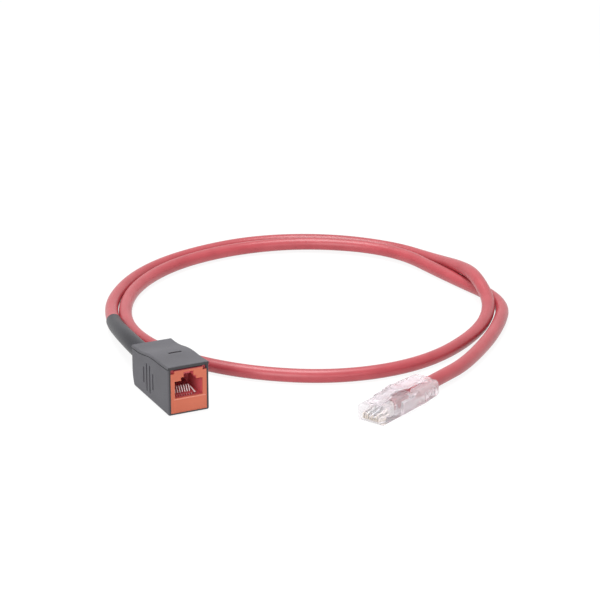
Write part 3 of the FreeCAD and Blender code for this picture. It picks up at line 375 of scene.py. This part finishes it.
NODE_FINISHES: dict[str, Finish] = {
    "housing_body": Finishes.housing,
    "housing_cover": Finishes.housing,
    "jack_frame": Finishes.jack_face,
    "contact_carrier": Finishes.insert,
    "contact_leads": Finishes.lead,
    "circuit_board": Finishes.board,
    "connection_block": Finishes.insert,
    "connection_forks": Finishes.forks,
    "termination_cap": Finishes.insert,
    "cable_clamp": Finishes.sleeve,
    "plug_body": Finishes.clear,
    "plug_contacts": Finishes.blades,
    "load_bar": Finishes.milky,
    "crimp_bar": Finishes.clear,
    "plug_latch": Finishes.clear,
    "blue_pair_at_jack": Finishes.blue,
    "orange_pair_at_jack": Finishes.orange,
    "green_pair_at_jack": Finishes.green,
    "brown_pair_at_jack": Finishes.brown,
    "blue_pair_at_plug": Finishes.pale_blue,
    "orange_pair_at_plug": Finishes.pale_orange,
    "green_pair_at_plug": Finishes.pale_green,
    "brown_pair_at_plug": Finishes.pale_brown,
}


def add_object(name: str, data: bpy.types.ID) -> bpy.types.Object:
    """Puts a new object into the scene, at the origin.

    Args:
        name: The object's name.
        data: Its mesh, curve, light or camera.

    Returns:
        The new object.
    """
    piece = bpy.data.objects.new(name, data)
    bpy.context.scene.collection.objects.link(piece)
    return piece


def add_mesh(name: str, points: np.ndarray, quads: np.ndarray, finish: Finish,
             sharp: bool = True) -> bpy.types.Object:
    """Makes an object from points and four-sided faces, shaded smooth.

    Args:
        name: The piece's name.
        points: The points, n by 3, in metres.
        quads: The faces, m by 4.
        finish: What the piece is made of.
        sharp: Whether its edges past the sharp angle stay crisp.

    Returns:
        The new object, at the origin.
    """
    mesh = bpy.data.meshes.new(name)
    mesh.from_pydata(points.tolist(), [], quads.tolist())
    mesh.shade_smooth()
    if sharp:
        mesh.set_sharp_from_angle(angle=SHARP_ANGLE)
    mesh.update()
    mesh.materials.append(finish.material())
    log.info("%s: %d faces", name, len(quads))
    return add_object(name, mesh)


def grid_cells(rows: int, cols: int, wrap_rows: bool = False, wrap_cols: bool = False) -> np.ndarray:
    """Joins the points of a grid into four-sided cells.

    Each cell joins point (i, j) to (i, j+1), (i+1, j+1) and (i+1, j). A wrapped
    direction joins its last line to its first.

    Args:
        rows: How many rows of points there are.
        cols: How many points a row has.
        wrap_rows: Whether the last row joins the first.
        wrap_cols: Whether the last column joins the first.

    Returns:
        The points of each cell, rows of cells by columns of cells by 4.
    """
    index = np.arange(rows * cols).reshape(rows, cols)
    if wrap_cols:
        index = np.concatenate([index, index[:, :1]], 1)
    if wrap_rows:
        index = np.concatenate([index, index[:1]], 0)
    return np.stack([index[:-1, :-1], index[:-1, 1:], index[1:, 1:], index[1:, :-1]], -1)


def outward(points: np.ndarray, quads: np.ndarray) -> np.ndarray:
    """Turns the faces of a closed shape so that they point outwards.

    The volume is a sixth of the sum of each triangle's corner product, and a
    negative sum means that every face points inwards.

    Args:
        points: The points, n by 3.
        quads: The four-sided faces, m by 4.

    Returns:
        The faces, turned round if the volume was negative.
    """
    a, b, c, d = (points[quads[:, corner]] for corner in range(4))
    volume = np.einsum("ij,ij->", a, np.cross(b, c)) + np.einsum("ij,ij->", a, np.cross(c, d))
    return quads if volume > 0 else quads[:, ::-1]


def add_wall(name: str, outer: np.ndarray, inner: np.ndarray, keep: np.ndarray, wrap: bool,
             finish: Finish) -> bpy.types.Object:
    """Makes a closed wall between two sheets of points, with openings.

    Each kept cell of the grid gets a face on the outer sheet and one on the inner
    sheet. Where a kept cell has no kept neighbour, a face joins the two sheets.

    Args:
        name: The piece's name.
        outer: The outer sheet, rows by columns by 3, in metres.
        inner: The inner sheet, of the same shape.
        keep: Which cells are wall, rows - 1 by columns - 1, or by columns if wrapped.
        wrap: Whether the last column joins the first.
        finish: What the piece is made of.

    Returns:
        The new object, at the origin.
    """
    rows, cols = outer.shape[:2]
    cells = grid_cells(rows, cols, wrap_cols=wrap)
    around = np.pad(keep, 1)
    if wrap:
        around[:, 0], around[:, -1] = around[:, -2], around[:, 1]
    count = rows * cols
    faces = [cells[keep], cells[keep][:, ::-1] + count]
    for side, neighbour in enumerate((around[:-2, 1:-1], around[1:-1, 2:], around[2:, 1:-1], around[1:-1, :-2])):
        rim = cells[keep & ~neighbour]
        start, end = rim[:, side], rim[:, (side + 1) % 4]
        faces.append(np.stack([end, start, start + count, end + count], -1))
    points = np.concatenate([outer.reshape(-1, 3), inner.reshape(-1, 3)])
    quads = outward(points, np.concatenate(faces))
    used, quads = np.unique(quads, return_inverse=True)
    return add_mesh(name, points[used], quads.reshape(-1, 4), finish)


def smooth_step(value: np.ndarray) -> np.ndarray:
    """Rises smoothly from 0 to 1 as the value goes from 0 to 1: 3 v squared - 2 v cubed."""
    held = np.clip(value, 0.0, 1.0)
    return held * held * (3.0 - 2.0 * held)


@dataclass
class Cable:
    """The red cable: one smooth line from the jack's cable bay round twice and into the plug."""

    diameter: float = 5.7 * MM
    length: float = 0.998
    exit: Point = (0.0, 18.9 * MM, 8.5 * MM)
    order: int = 3
    steps: int = 16
    fine_steps: int = 24
    ring_steps: int = 10
    # The curve's control points, in millimetres.
    points: tuple[Point, ...] = (
        (0, 6.3, 8.5), (0, 25.3, 8.5), (2, 52, 7.2), (7.9, 82.8, 2.85), (18.2, 108, 2.85), (41.2, 133.5, 2.85),
        (71.2, 148.1, 2.85), (106.8, 151.9, 2.85), (138.9, 139.1, 2.85), (161.3, 115.6, 2.85), (169.8, 92, 2.85),
        (169.3, 63, 8.2), (166.3, 46, 9.6), (161.8, 25, 4), (140.5, 0.3, 2.85),
        (104.5, -19.7, 2.85), (66.5, -18.2, 2.85), (34, 3.3, 2.85), (13, 36.3, 2.85), (9.8, 73.6, 2.85),
        (26.8, 111.6, 2.85), (56.3, 136.1, 3.4), (94.3, 145.4, 3.25), (129.8, 136.4, 3.7), (159.4, 109.2, 3.9),
        (165, 69.8, 2.85), (171.3, 29.7, 2.85), (150.8, 1.3, 2.85), (120.5, -26.2, 2.85), (101.98, -36.67, 3.4),
        (69.76, -52.73, 3.4),
    )

    def line(self, name: str, radius: float, steps: int) -> bpy.types.Object:
        """Makes the smooth curve through the route, with the listed points as its control points.

        Args:
            name: The curve's name.
            radius: Half the thickness of the tube round the line, 0 for the bare line.
            steps: How many steps each stretch of the line has.

        Returns:
            The curve object.
        """
        curve = bpy.data.curves.new(name, "CURVE")
        curve.dimensions = "3D"
        curve.resolution_u = steps
        curve.bevel_depth = radius
        curve.bevel_resolution = self.ring_steps
        curve.use_fill_caps = radius > 0
        spline = curve.splines.new("NURBS")
        spline.points.add(len(self.points) - 1)
        places = np.c_[np.array(self.points) * MM, np.ones(len(self.points))]
        spline.points.foreach_set("co", places.ravel().astype(np.float32))
        spline.order_u = self.order
        spline.use_endpoint_u = True
        return add_object(name, curve)

    def centre(self) -> np.ndarray:
        """Reads the smooth line's own points.

        Returns:
            The points along the line, in metres.
        """
        bare = self.line("bare_line", 0.0, self.fine_steps)
        bpy.context.view_layer.update()
        mesh = bpy.data.meshes.new_from_object(bare)
        points = np.empty(len(mesh.vertices) * 3)
        mesh.vertices.foreach_get("co", points)
        bpy.data.meshes.remove(mesh)
        bpy.data.objects.remove(bare)
        return points.reshape(-1, 3)

    def build(self) -> bpy.types.Object:
        """Makes the jacket as a tube round the line.

        Returns:
            The cable's curve.
        """
        jacket = self.line("red_cable", self.diameter / 2, self.steps)
        jacket.data.materials.append(Finishes.jacket.material())
        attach(jacket, "cable_assembly")
        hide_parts("cable_jacket")
        log.info("red_cable: %d points", len(self.points))
        return jacket


@dataclass
class Route:
    """Places and directions along the cable's smooth line, by the distance from its start."""

    points: np.ndarray
    reach: float = 0.0008
    distance: np.ndarray = field(init=False)

    def __post_init__(self) -> None:
        """Adds up the distance at each point."""
        steps = np.linalg.norm(np.diff(self.points, axis=0), axis=1)
        self.distance = np.concatenate([[0.0], np.cumsum(steps)])

    def place(self, distance: np.ndarray) -> np.ndarray:
        """Finds the places at some distances, between the line's own points."""
        return np.stack([np.interp(distance, self.distance, self.points[:, axis]) for axis in range(3)], -1)

    def at(self, distance: np.ndarray) -> tuple[np.ndarray, np.ndarray, np.ndarray]:
        """Finds the place and the two directions across at some distances.

        The direction along is the difference of the places a little after and a
        little before; side is along x up-axis, and up is side x along.

        Args:
            distance: Distances from the start, in metres.

        Returns:
            Places, directions to the side and up, each of them n by 3.
        """
        along = self.place(distance + self.reach) - self.place(distance - self.reach)
        along /= np.linalg.norm(along, axis=1, keepdims=True)
        side = np.cross(along, np.array([0.0, 0.0, 1.0]))
        side /= np.linalg.norm(side, axis=1, keepdims=True)
        return self.place(distance), side, np.cross(side, along)


@dataclass
class Sleeve:
    """The black strain relief: a flange inside the housing, a neck and a long tapered tube over the cable."""

    start: float = 9.65 * MM
    flange: float = 1.5 * MM
    wall_gap: float = 1.4 * MM
    length: float = 62.0 * MM
    root: float = 7.9 * MM
    tip: float = 6.5 * MM
    neck: float = 7.1 * MM
    flange_size: float = 10.0 * MM
    bore: float = 5.9 * MM
    lip: float = 0.35 * MM
    taper_steps: int = 80
    lip_steps: int = 7
    bore_steps: int = 60
    ring_steps: int = 48

    def build(self, route: Route) -> bpy.types.Object:
        """Carries the sleeve's profile along the cable.

        The radius is a function of the distance only: flange, neck, then a
        straight taper from root to tip with a quarter-round lip, and back along
        the bore, so that the wall is closed.

        Args:
            route: The cable's line.

        Returns:
            The sleeve.
        """
        begin, neck, body = self.start, self.start + self.flange, self.start + self.flange + self.wall_gap
        end = body + self.length
        turn = np.linspace(0, math.pi / 2, self.lip_steps)
        taper = np.linspace(0, 1, self.taper_steps)
        back = np.linspace(1, 0, self.bore_steps)
        at = np.concatenate([
            [begin, begin, neck, neck, body, body], body + (end - self.lip - body) * taper,
            end - self.lip + self.lip * np.sin(turn), begin + (end - begin) * back])
        radius = np.concatenate([
            [self.bore / 2, self.flange_size / 2, self.flange_size / 2, self.neck / 2, self.neck / 2, self.root / 2],
            (self.root + (self.tip - self.root) * taper) / 2, self.tip / 2 - self.lip + self.lip * np.cos(turn),
            np.full(back.size, self.bore / 2)])
        place, side, up = route.at(at)
        angle = np.linspace(0, 2 * math.pi, self.ring_steps, endpoint=False)
        ring = np.cos(angle)[None, :, None] * side[:, None, :] + np.sin(angle)[None, :, None] * up[:, None, :]
        grid = place[:, None, :] + radius[:, None, None] * ring
        cells = grid_cells(at.size, angle.size, wrap_rows=True, wrap_cols=True)
        sleeve = add_mesh("sleeve_tube", grid[:, ::-1].reshape(-1, 3), cells.reshape(-1, 4), Finishes.sleeve,
                          sharp=False)
        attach(sleeve, "cable_assembly")
        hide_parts("strain_relief_sleeve")
        return sleeve


@dataclass
class Jack:
    """The jack's face details, in millimetres: the raised lower plate and the eight bright contact wires."""

    face: float = -18.7
    plate: tuple[float, float, float, float] = (-6.2, 7.3, 1.3, 6.75)
    plate_rise: float = 0.16
    plate_root: float = 0.1
    plate_round: float = 0.3
    plate_edge: float = 0.3
    plate_shares: tuple[Stations, ...] = ((0, 0.05, 6), (0.1, 0.9, 12), (0.95, 1, 6))
    bend: Span = (-16.6, 7.5)
    pitch: float = 1.02
    contacts: int = 8
    wire: float = 0.46
    ramp: Span = (2.5, 4.6)
    low: float = -0.95
    high: float = 1.75
    last_slope: float = 0.13
    last_wire: float = 0.62
    stations: tuple[Stations, ...] = ((0, 2.2, 16), (2.3, 4.9, 34), (5.2, 12.9, 10))
    wire_tip: tuple[float, ...] = (0.02, 0.7)
    ring_steps: int = 12

    def face_plate(self) -> bpy.types.Object:
        """Makes the smooth plate under the port, a little proud of the face.

        Its height over the face is the rise times the product of two smooth
        steps of the distance from the nearest side and the nearest end.

        Returns:
            The plate.
        """
        left, right, low, high = self.plate
        share = np.concatenate([np.linspace(*part) for part in self.plate_shares])
        x, z = np.meshgrid(left + (right - left) * share, low + (high - low) * share, indexing="ij")
        side = smooth_step(np.minimum(x - left, right - x) / self.plate_round + self.plate_edge)
        end = smooth_step(np.minimum(z - low, high - z) / self.plate_round + self.plate_edge)
        front = np.stack([x, self.face - self.plate_rise * side * end, z], -1) * MM
        back = np.stack([x, np.full_like(x, self.face + self.plate_root), z], -1) * MM
        keep = np.ones((share.size - 1, share.size - 1), bool)
        plate = add_wall("jack_face_plate", front, back, keep, False, Finishes.plate)
        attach(plate, "cable_assembly")
        return plate

    def wires(self) -> bpy.types.Object:
        """Makes the eight contact wires, each a round tube that rises steeply from the floor and runs to the comb.

        The height over the front bend goes from a low level to a high one by a
        smooth step between the ramp's two ends, and the last wire rises
        straight; a circle is carried along that line, square to it.

        Returns:
            The wires, one piece.
        """
        along = np.concatenate([np.linspace(*part) for part in self.stations])
        last = (np.arange(self.contacts) == self.contacts - 1)[:, None]
        share = (along - self.ramp[0]) / (self.ramp[1] - self.ramp[0])
        height = np.where(last, self.last_slope * along, self.low + (self.high - self.low) * smooth_step(share))
        tilt = np.arctan2(np.gradient(height, axis=1), np.gradient(along))[..., None]
        angle = np.linspace(0, 2 * math.pi, self.ring_steps, endpoint=False)
        tip = np.array(self.wire_tip)
        round_off = np.concatenate([tip, np.ones(along.size - 2 * tip.size), tip[::-1]])[:, None]
        radius = np.where(last, self.last_wire, self.wire)[..., None] / 2 * round_off
        above = radius * np.sin(angle)
        row = (np.arange(self.contacts) - (self.contacts - 1) / 2)[:, None, None] * self.pitch
        x = row + radius * np.cos(angle)
        y = self.bend[0] + along[:, None] - np.sin(tilt) * above
        z = self.bend[1] + height[..., None] + np.cos(tilt) * above
        points = np.stack([x, y, z], -1).reshape(self.contacts, -1, 3) * MM
        quads = outward(points[0], grid_cells(along.size, angle.size, wrap_cols=True).reshape(-1, 4))
        faces = (quads[None] + np.arange(self.contacts)[:, None, None] * points.shape[1]).reshape(-1, 4)
        wires = add_mesh("contact_wires", points.reshape(-1, 3), faces, Finishes.wire)
        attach(wires, "contact_springs")
        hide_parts("contact_springs")
        return wires

    def build(self) -> None:
        """Makes the plate and the wires."""
        self.face_plate()
        self.wires()


@dataclass
class PlugPlace:
    """Where the plug lies: its nose on the floor plan, in millimetres, and its heading."""

    east: float = 59.2
    north: float = -58.0
    heading: float = math.radians(26.5)

    def points(self, along: np.ndarray, side: np.ndarray, level: np.ndarray) -> np.ndarray:
        """Turns lengths behind the nose, to the left and up into places.

        Args:
            along: Lengths behind the nose, in millimetres.
            side: Lengths to the left of the plug's middle.
            level: Heights over the floor.

        Returns:
            The places, in metres.
        """
        along, side, level = np.broadcast_arrays(along, side, level)
        east = self.east + along * math.cos(self.heading) - side * math.sin(self.heading)
        north = self.north + along * math.sin(self.heading) + side * math.cos(self.heading)
        return np.stack([east, north, level], -1) * MM


@dataclass
class Boot:
    """The milky snagless boot: a rounded sleeve with ribs and a slot, and the arched hood over the latch.

    All sizes are in millimetres: behind the plug's nose, to the side of its middle, or over the floor.
    """

    place: PlugPlace = field(default_factory=PlugPlace)
    # The outside.
    front: float = 12.2
    end: float = 37.9
    half: float = 7.25
    roof: float = 7.7
    corner: float = 2.0
    corner_tight: float = 0.5
    end_round: float = 0.8
    taper_front: float = 28.0
    taper_side: float = 0.9
    taper_rise: float = 0.1
    roof_drop: float = 0.7
    drop_reach: float = 3.0
    # The inside: the plug's seat, then the cable's bore.
    seat_end: float = 21.6
    seat_half: float = 5.95
    seat_roof: float = 6.9
    seat_corner: float = 0.9
    bore: float = 2.95
    bore_level: float = 3.4
    # The slot in the roof, and the open top in front of it.
    slot_end: float = 31.3
    slot_share: float = 0.8
    slot_narrow: float = 0.42
    slot_rise: Span = (17.0, 24.5)
    # The hump on the roof, and the ribs in the sides.
    hump: Span = (33.2, 37.2)
    hump_fades: Span = (0.9, 0.6)
    hump_rise: float = 0.8
    hump_half: float = 3.6
    hump_side_fade: float = 0.9
    ribs: tuple[float, ...] = (27.45, 30.05, 32.65, 35.25)
    rib_half: float = 0.6
    rib_fade: float = 0.25
    rib_depth: float = 1.4
    rib_levels: Span = (1.0, 5.8)
    rib_level_fade: float = 0.4
    # The hood.
    hood_line: tuple[Span, ...] = ((14.6, 9.6), (17.8, 9.2), (21.8, 8.2), (32.2, 8.05), (32.9, 7.9))
    hood_smooth: float = 1.0
    hood_half: float = 2.9
    hood_wall: float = 0.45
    hood_round: float = 1.1
    hood_blunt: float = 0.98
    hood_crown: float = 0.1
    hood_rim: float = 0.15
    hood_rim_rise: float = 0.05
    hood_rim_shares: Span = (0.9, 1.0)
    hood_skirt: float = 0.2
    hood_skirt_shares: Span = (0.74, 0.84)
    hood_skirt_ends: Span = (22.3, 20.8)
    # How the grids are divided.
    corner_steps: int = 8
    roof_steps: int = 3
    wall_steps: int = 10
    flat_steps: int = 8
    end_steps: int = 7
    seat_steps: int = 16
    seat_gap: float = 0.01
    shoulder: Stations = (22.4, 26.6, 6)
    ribbed_front: float = 26.7
    ribbed_gap: float = 0.1
    ribbed_steps: int = 84
    hood_tip_steps: int = 8
    hood_tip_gap: float = 0.3
    hood_steps: int = 70
    hood_across: int = 25
    hood_blends: int = 9

    def loop(self) -> tuple[np.ndarray, np.ndarray, np.ndarray, np.ndarray, np.ndarray, np.ndarray]:
        """Sets the points once round the boot, from one edge of the roof's slot over the sides to the other.

        Each point is a share of the straight part plus a share of the corner's
        radius, sideways and upwards, so that the same loop fits every station.

        Returns:
            Straight share sideways, corner share sideways, straight share up,
            corner share up, which points are floor, and which are the slot.
        """
        def stretch(*rows: Any) -> np.ndarray:
            """One stretch of the loop: its six rows, each a number or an array."""
            return np.stack(np.broadcast_arrays(*(np.atleast_1d(row).astype(float) for row in rows)))

        turn = np.linspace(0, math.pi / 2, self.corner_steps)
        roof = np.linspace(self.slot_share, 1, self.roof_steps + 1)[:-1]
        wall = np.linspace(1, 0, self.wall_steps + 2)[1:-1]
        floor = np.linspace(1, -1, self.flat_steps + 2)[1:-1]
        gap = np.linspace(-self.slot_share, self.slot_share, self.flat_steps + 2)[1:-1]
        left = np.concatenate([
            stretch(roof, 0, 1, 1, 0, 0),
            stretch(1, np.sin(turn), 1, np.cos(turn), 0, 0),
            stretch(1, 1, wall, 0, 0, 0),
            stretch(1, np.cos(turn), 0, -np.sin(turn), turn > 1, 0)], 1)
        right = left[:, ::-1] * np.array([-1, -1, 1, 1, 1, 1])[:, None]
        rows = np.concatenate([left, stretch(floor, 0, 0, -1, 1, 0), right, stretch(gap, 0, 1, 1, 0, 1)], 1)
        return (*rows[:4], rows[4] > 0, rows[5] > 0)

    def sleeve(self) -> bpy.types.Object:
        """Makes the boot's sleeve as a wall between an outer and an inner sheet.

        Outer: a rounded rectangle whose sides draw in and whose floor rises
        behind the taper's front, with a quarter-round end, a hump on the roof
        and ribs pressed into its sides. Inner: the plug's seat, then the
        cable's round bore. The open top in front, whose edge rises along the
        corner, the slot in the roof and the open floor are left out.

        Returns:
            The sleeve.
        """
        p, q, u, t, bottom, slot = self.loop()
        turn = np.linspace(0, math.pi / 2, self.end_steps)
        stations = np.concatenate([
            np.linspace(self.front, self.seat_end - self.seat_gap, self.seat_steps), [self.seat_end + self.seat_gap],
            np.linspace(*self.shoulder),
            np.linspace(self.ribbed_front, self.end - self.end_round - self.ribbed_gap, self.ribbed_steps),
            self.end - self.end_round * (1 - np.sin(turn))])
        s = stations[:, None]
        back = np.clip((s - self.taper_front) / (self.end - self.taper_front), 0, 1)
        edge = np.clip((s - self.end + self.end_round) / self.end_round, 0, 1)
        draw = self.end_round * (1 - np.sqrt(1 - edge * edge))
        half = self.half - self.taper_side * back - draw
        low = self.taper_rise * back + draw
        high = self.roof - draw - self.roof_drop * smooth_step((s - self.seat_end) / self.drop_reach)
        corner = self.corner - self.corner_tight * edge
        side = (half - corner) * p + corner * q
        level = low + corner + (high - low - 2 * corner) * u + corner * t
        bump = smooth_step((s - self.hump[0]) / self.hump_fades[0])
        bump = bump * smooth_step((self.hump[1] - s) / self.hump_fades[1])
        across = smooth_step((self.hump_half - np.abs(side)) / self.hump_side_fade)
        level = level + self.hump_rise * bump * across * (t > WHOLE)
        rib = sum(smooth_step((self.rib_half - np.abs(s - at)) / self.rib_fade) for at in self.ribs)
        upright = smooth_step((level - self.rib_levels[0]) / self.rib_level_fade)
        upright = upright * smooth_step((self.rib_levels[1] - level) / self.rib_level_fade)
        side = side - np.sign(side) * self.rib_depth * rib * upright * (np.abs(q) > WHOLE)
        outer = self.place.points(s, side, level)
        seat = s < self.seat_end
        seat_side = (self.seat_half - self.seat_corner) * p + self.seat_corner * q
        seat_level = self.seat_corner + (self.seat_roof - 2 * self.seat_corner) * u + self.seat_corner * t
        angle = np.arctan2(level - self.bore_level, side)
        inner = self.place.points(s, np.where(seat, seat_side, self.bore * np.cos(angle)),
                                  np.where(seat, seat_level, self.bore_level + self.bore * np.sin(angle)))
        at = (s[1:] + s[:-1]) / 2
        in_slot = slot | np.roll(slot, -1)
        narrow = in_slot & (np.abs(p + np.roll(p, -1)) / 2 < self.slot_narrow)
        in_floor = bottom & np.roll(bottom, -1)
        rise = np.clip((at - self.slot_rise[0]) / (self.slot_rise[1] - self.slot_rise[0]), 0, 1)
        open_top = (t + np.roll(t, -1)) / 2 > rise + HAIR
        keep = ~open_top & ~((at < self.slot_end) & narrow) & ~((at < self.seat_end) & in_floor)
        sleeve = add_wall("boot_sleeve", outer, inner, keep, True, Finishes.boot)
        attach(sleeve, "cable_assembly")
        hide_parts("plug_boot")
        return sleeve

    def hood(self) -> bpy.types.Object:
        """Makes the hood: an arched tongue, crowned across, with short skirts and a round tip.

        Its top follows the line of set heights, smoothed over 2 mm, plus a
        crown of the square of the share across; its half width shrinks as a
        circle at the tip, and its underside drops at the skirts.

        Returns:
            The hood.
        """
        set_at, set_level = np.array(self.hood_line).T
        turn = np.linspace(0, math.pi / 2, self.hood_tip_steps)
        tip = set_at[0] + self.hood_round
        stations = np.concatenate([tip - self.hood_round * np.cos(turn),
                                   np.linspace(tip + self.hood_tip_gap, set_at[-1], self.hood_steps)])
        spread = np.linspace(-self.hood_smooth, self.hood_smooth, self.hood_blends)
        line = np.mean([np.interp(stations + step, set_at, set_level) for step in spread], axis=0)[:, None]
        into = np.clip(1 - (stations - set_at[0]) / self.hood_round, 0, 1)
        half = self.hood_half - self.hood_round * (1 - np.sqrt(1 - into * into * self.hood_blunt))
        s = stations[:, None]
        share = np.sin(np.linspace(-math.pi / 2, math.pi / 2, self.hood_across))
        side = half[:, None] * share
        rim = self.fade(np.abs(share), self.hood_rim_shares)
        skirt = self.fade(s, self.hood_skirt_ends) * self.fade(np.abs(share), self.hood_skirt_shares)
        top = line + self.hood_crown * (1 - share * share) - self.hood_rim * rim
        under = line - self.hood_wall - self.hood_skirt * skirt + self.hood_rim_rise * rim
        keep = np.ones((stations.size - 1, share.size - 1), bool)
        hood = add_wall("hood_tongue", self.place.points(s, side, top), self.place.points(s, side, under), keep,
                        False, Finishes.boot)
        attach(hood, "boot_hood")
        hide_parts("boot_hood")
        return hood

    @staticmethod
    def fade(value: np.ndarray, ends: Span) -> np.ndarray:
        """Rises smoothly from 0 at the first end to 1 at the second."""
        return smooth_step((value - ends[0]) / (ends[1] - ends[0]))

    def build(self) -> list[bpy.types.Object]:
        """Makes the sleeve and the hood.

        Returns:
            The two pieces.
        """
        return [self.sleeve(), self.hood()]


def dress_frame() -> None:
    """Gives every CAD node that still shows its finish."""
    for name, finish in NODE_FINISHES.items():
        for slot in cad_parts[name].material_slots:
            slot.link = "OBJECT"
            slot.material = finish.material()
        log.info("%s: dressed in %s", name, finish.name)


@dataclass(frozen=True)
class Lamp:
    """One square soft light: where it hangs and its side, in metres, and its power in watts."""

    name: str
    place: Point
    size: float
    watts: float


@dataclass
class Studio:
    """Floor, soft lights and camera, in metres."""

    eye: Point = (-0.33926, -0.81514, 0.3651)
    look: Point = (0.4105, 0.8440, -0.3453)
    lens: float = 144.0
    sensor: float = 36.0
    nearest: float = 0.01
    middle: Point = (0.085, 0.045, 0.0)
    lamps: tuple[Lamp, ...] = (
        Lamp("top_light", (0.0, 0.15, 1.1), 0.7, 12.0),
        Lamp("left_light", (-0.9, -0.8, 0.5), 0.8, 8.5),
        Lamp("front_light", (-0.1, -1.4, 0.4), 0.6, 2.6),
    )
    floor_reach: float = 12.0
    floor_level: float = -0.0002
    floor_paint: float = 0.8
    floor_glow: float = 1.06
    floor_glow_share: float = 0.85
    sky_light: float = 0.35
    sky_seen: float = 1.0

    def floor(self) -> None:
        """Lays a pale floor that the camera sees as white wherever no shadow falls."""
        mesh = bpy.data.meshes.new("floor")
        corners = [(x * self.floor_reach, y * self.floor_reach, 0) for x, y in ((-1, -1), (1, -1), (1, 1), (-1, 1))]
        mesh.from_pydata(corners, [], [(0, 1, 2, 3)])
        floor = add_object("floor", mesh)
        floor.location.z = self.floor_level
        material = bpy.data.materials.new("pale_floor")
        material.use_nodes = True
        tree = material.node_tree
        tree.nodes.clear()
        output = add_node(tree, "ShaderNodeOutputMaterial")
        paint = add_node(tree, "ShaderNodeBsdfDiffuse", {"Color": (*[self.floor_paint] * 3, 1)})
        glow = add_node(tree, "ShaderNodeEmission", {"Strength": self.floor_glow})
        share = add_node(tree, "ShaderNodeMath", {1: self.floor_glow_share}, operation="MULTIPLY")
        blend = add_node(tree, "ShaderNodeMixShader")
        for start, end in (
            (seen_rays(tree), share.inputs[0]),
            (share.outputs[0], blend.inputs[0]),
            (paint.outputs[0], blend.inputs[1]),
            (glow.outputs[0], blend.inputs[2]),
            (blend.outputs[0], output.inputs["Surface"]),
        ):
            tree.links.new(start, end)
        mesh.materials.append(material)

    def sky(self) -> None:
        """Sets an even pale world, white where it is seen."""
        world = bpy.data.worlds.new("pale_world")
        bpy.context.scene.world = world
        world.use_nodes = True
        tree = world.node_tree
        background = tree.nodes["Background"]
        background.inputs["Color"].default_value = (1, 1, 1, 1)
        strength = add_node(tree, "ShaderNodeMapRange", {"To Min": self.sky_light, "To Max": self.sky_seen})
        tree.links.new(seen_rays(tree), strength.inputs["Value"])
        tree.links.new(strength.outputs["Result"], background.inputs["Strength"])

    def hang(self, lamp: Lamp) -> None:
        """Hangs one soft light, turned to the object's middle.

        Args:
            lamp: The light.
        """
        light = bpy.data.lights.new(lamp.name, "AREA")
        light.size = lamp.size
        light.energy = lamp.watts
        hung = add_object(lamp.name, light)
        hung.location = lamp.place
        hung.rotation_euler = (Vector(self.middle) - Vector(lamp.place)).to_track_quat("-Z", "Y").to_euler()

    def camera(self) -> None:
        """Stands the camera where the photograph was taken from."""
        lens = bpy.data.cameras.new("camera")
        lens.lens = self.lens
        lens.sensor_width = self.sensor
        lens.clip_start = self.nearest
        camera = add_object("camera", lens)
        camera.location = self.eye
        camera.rotation_euler = Vector(self.look).to_track_quat("-Z", "Y").to_euler()
        bpy.context.scene.camera = camera

    def build(self) -> None:
        """Sets up the whole studio."""
        self.floor()
        self.sky()
        for lamp in self.lamps:
            self.hang(lamp)
        self.camera()
        bpy.context.scene.view_settings.view_transform = "Standard"


def main() -> None:
    """Builds the dressed cable, piece by piece."""
    logging.basicConfig(level=logging.INFO, format="%(message)s")
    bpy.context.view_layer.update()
    dress_frame()
    cable = Cable()
    jacket = cable.build()
    route = Route(cable.centre())
    sleeve = Sleeve().build(route)
    Jack().build()
    boot = Boot().build()
    Studio().build()


if __name__ == "__main__":
    main()
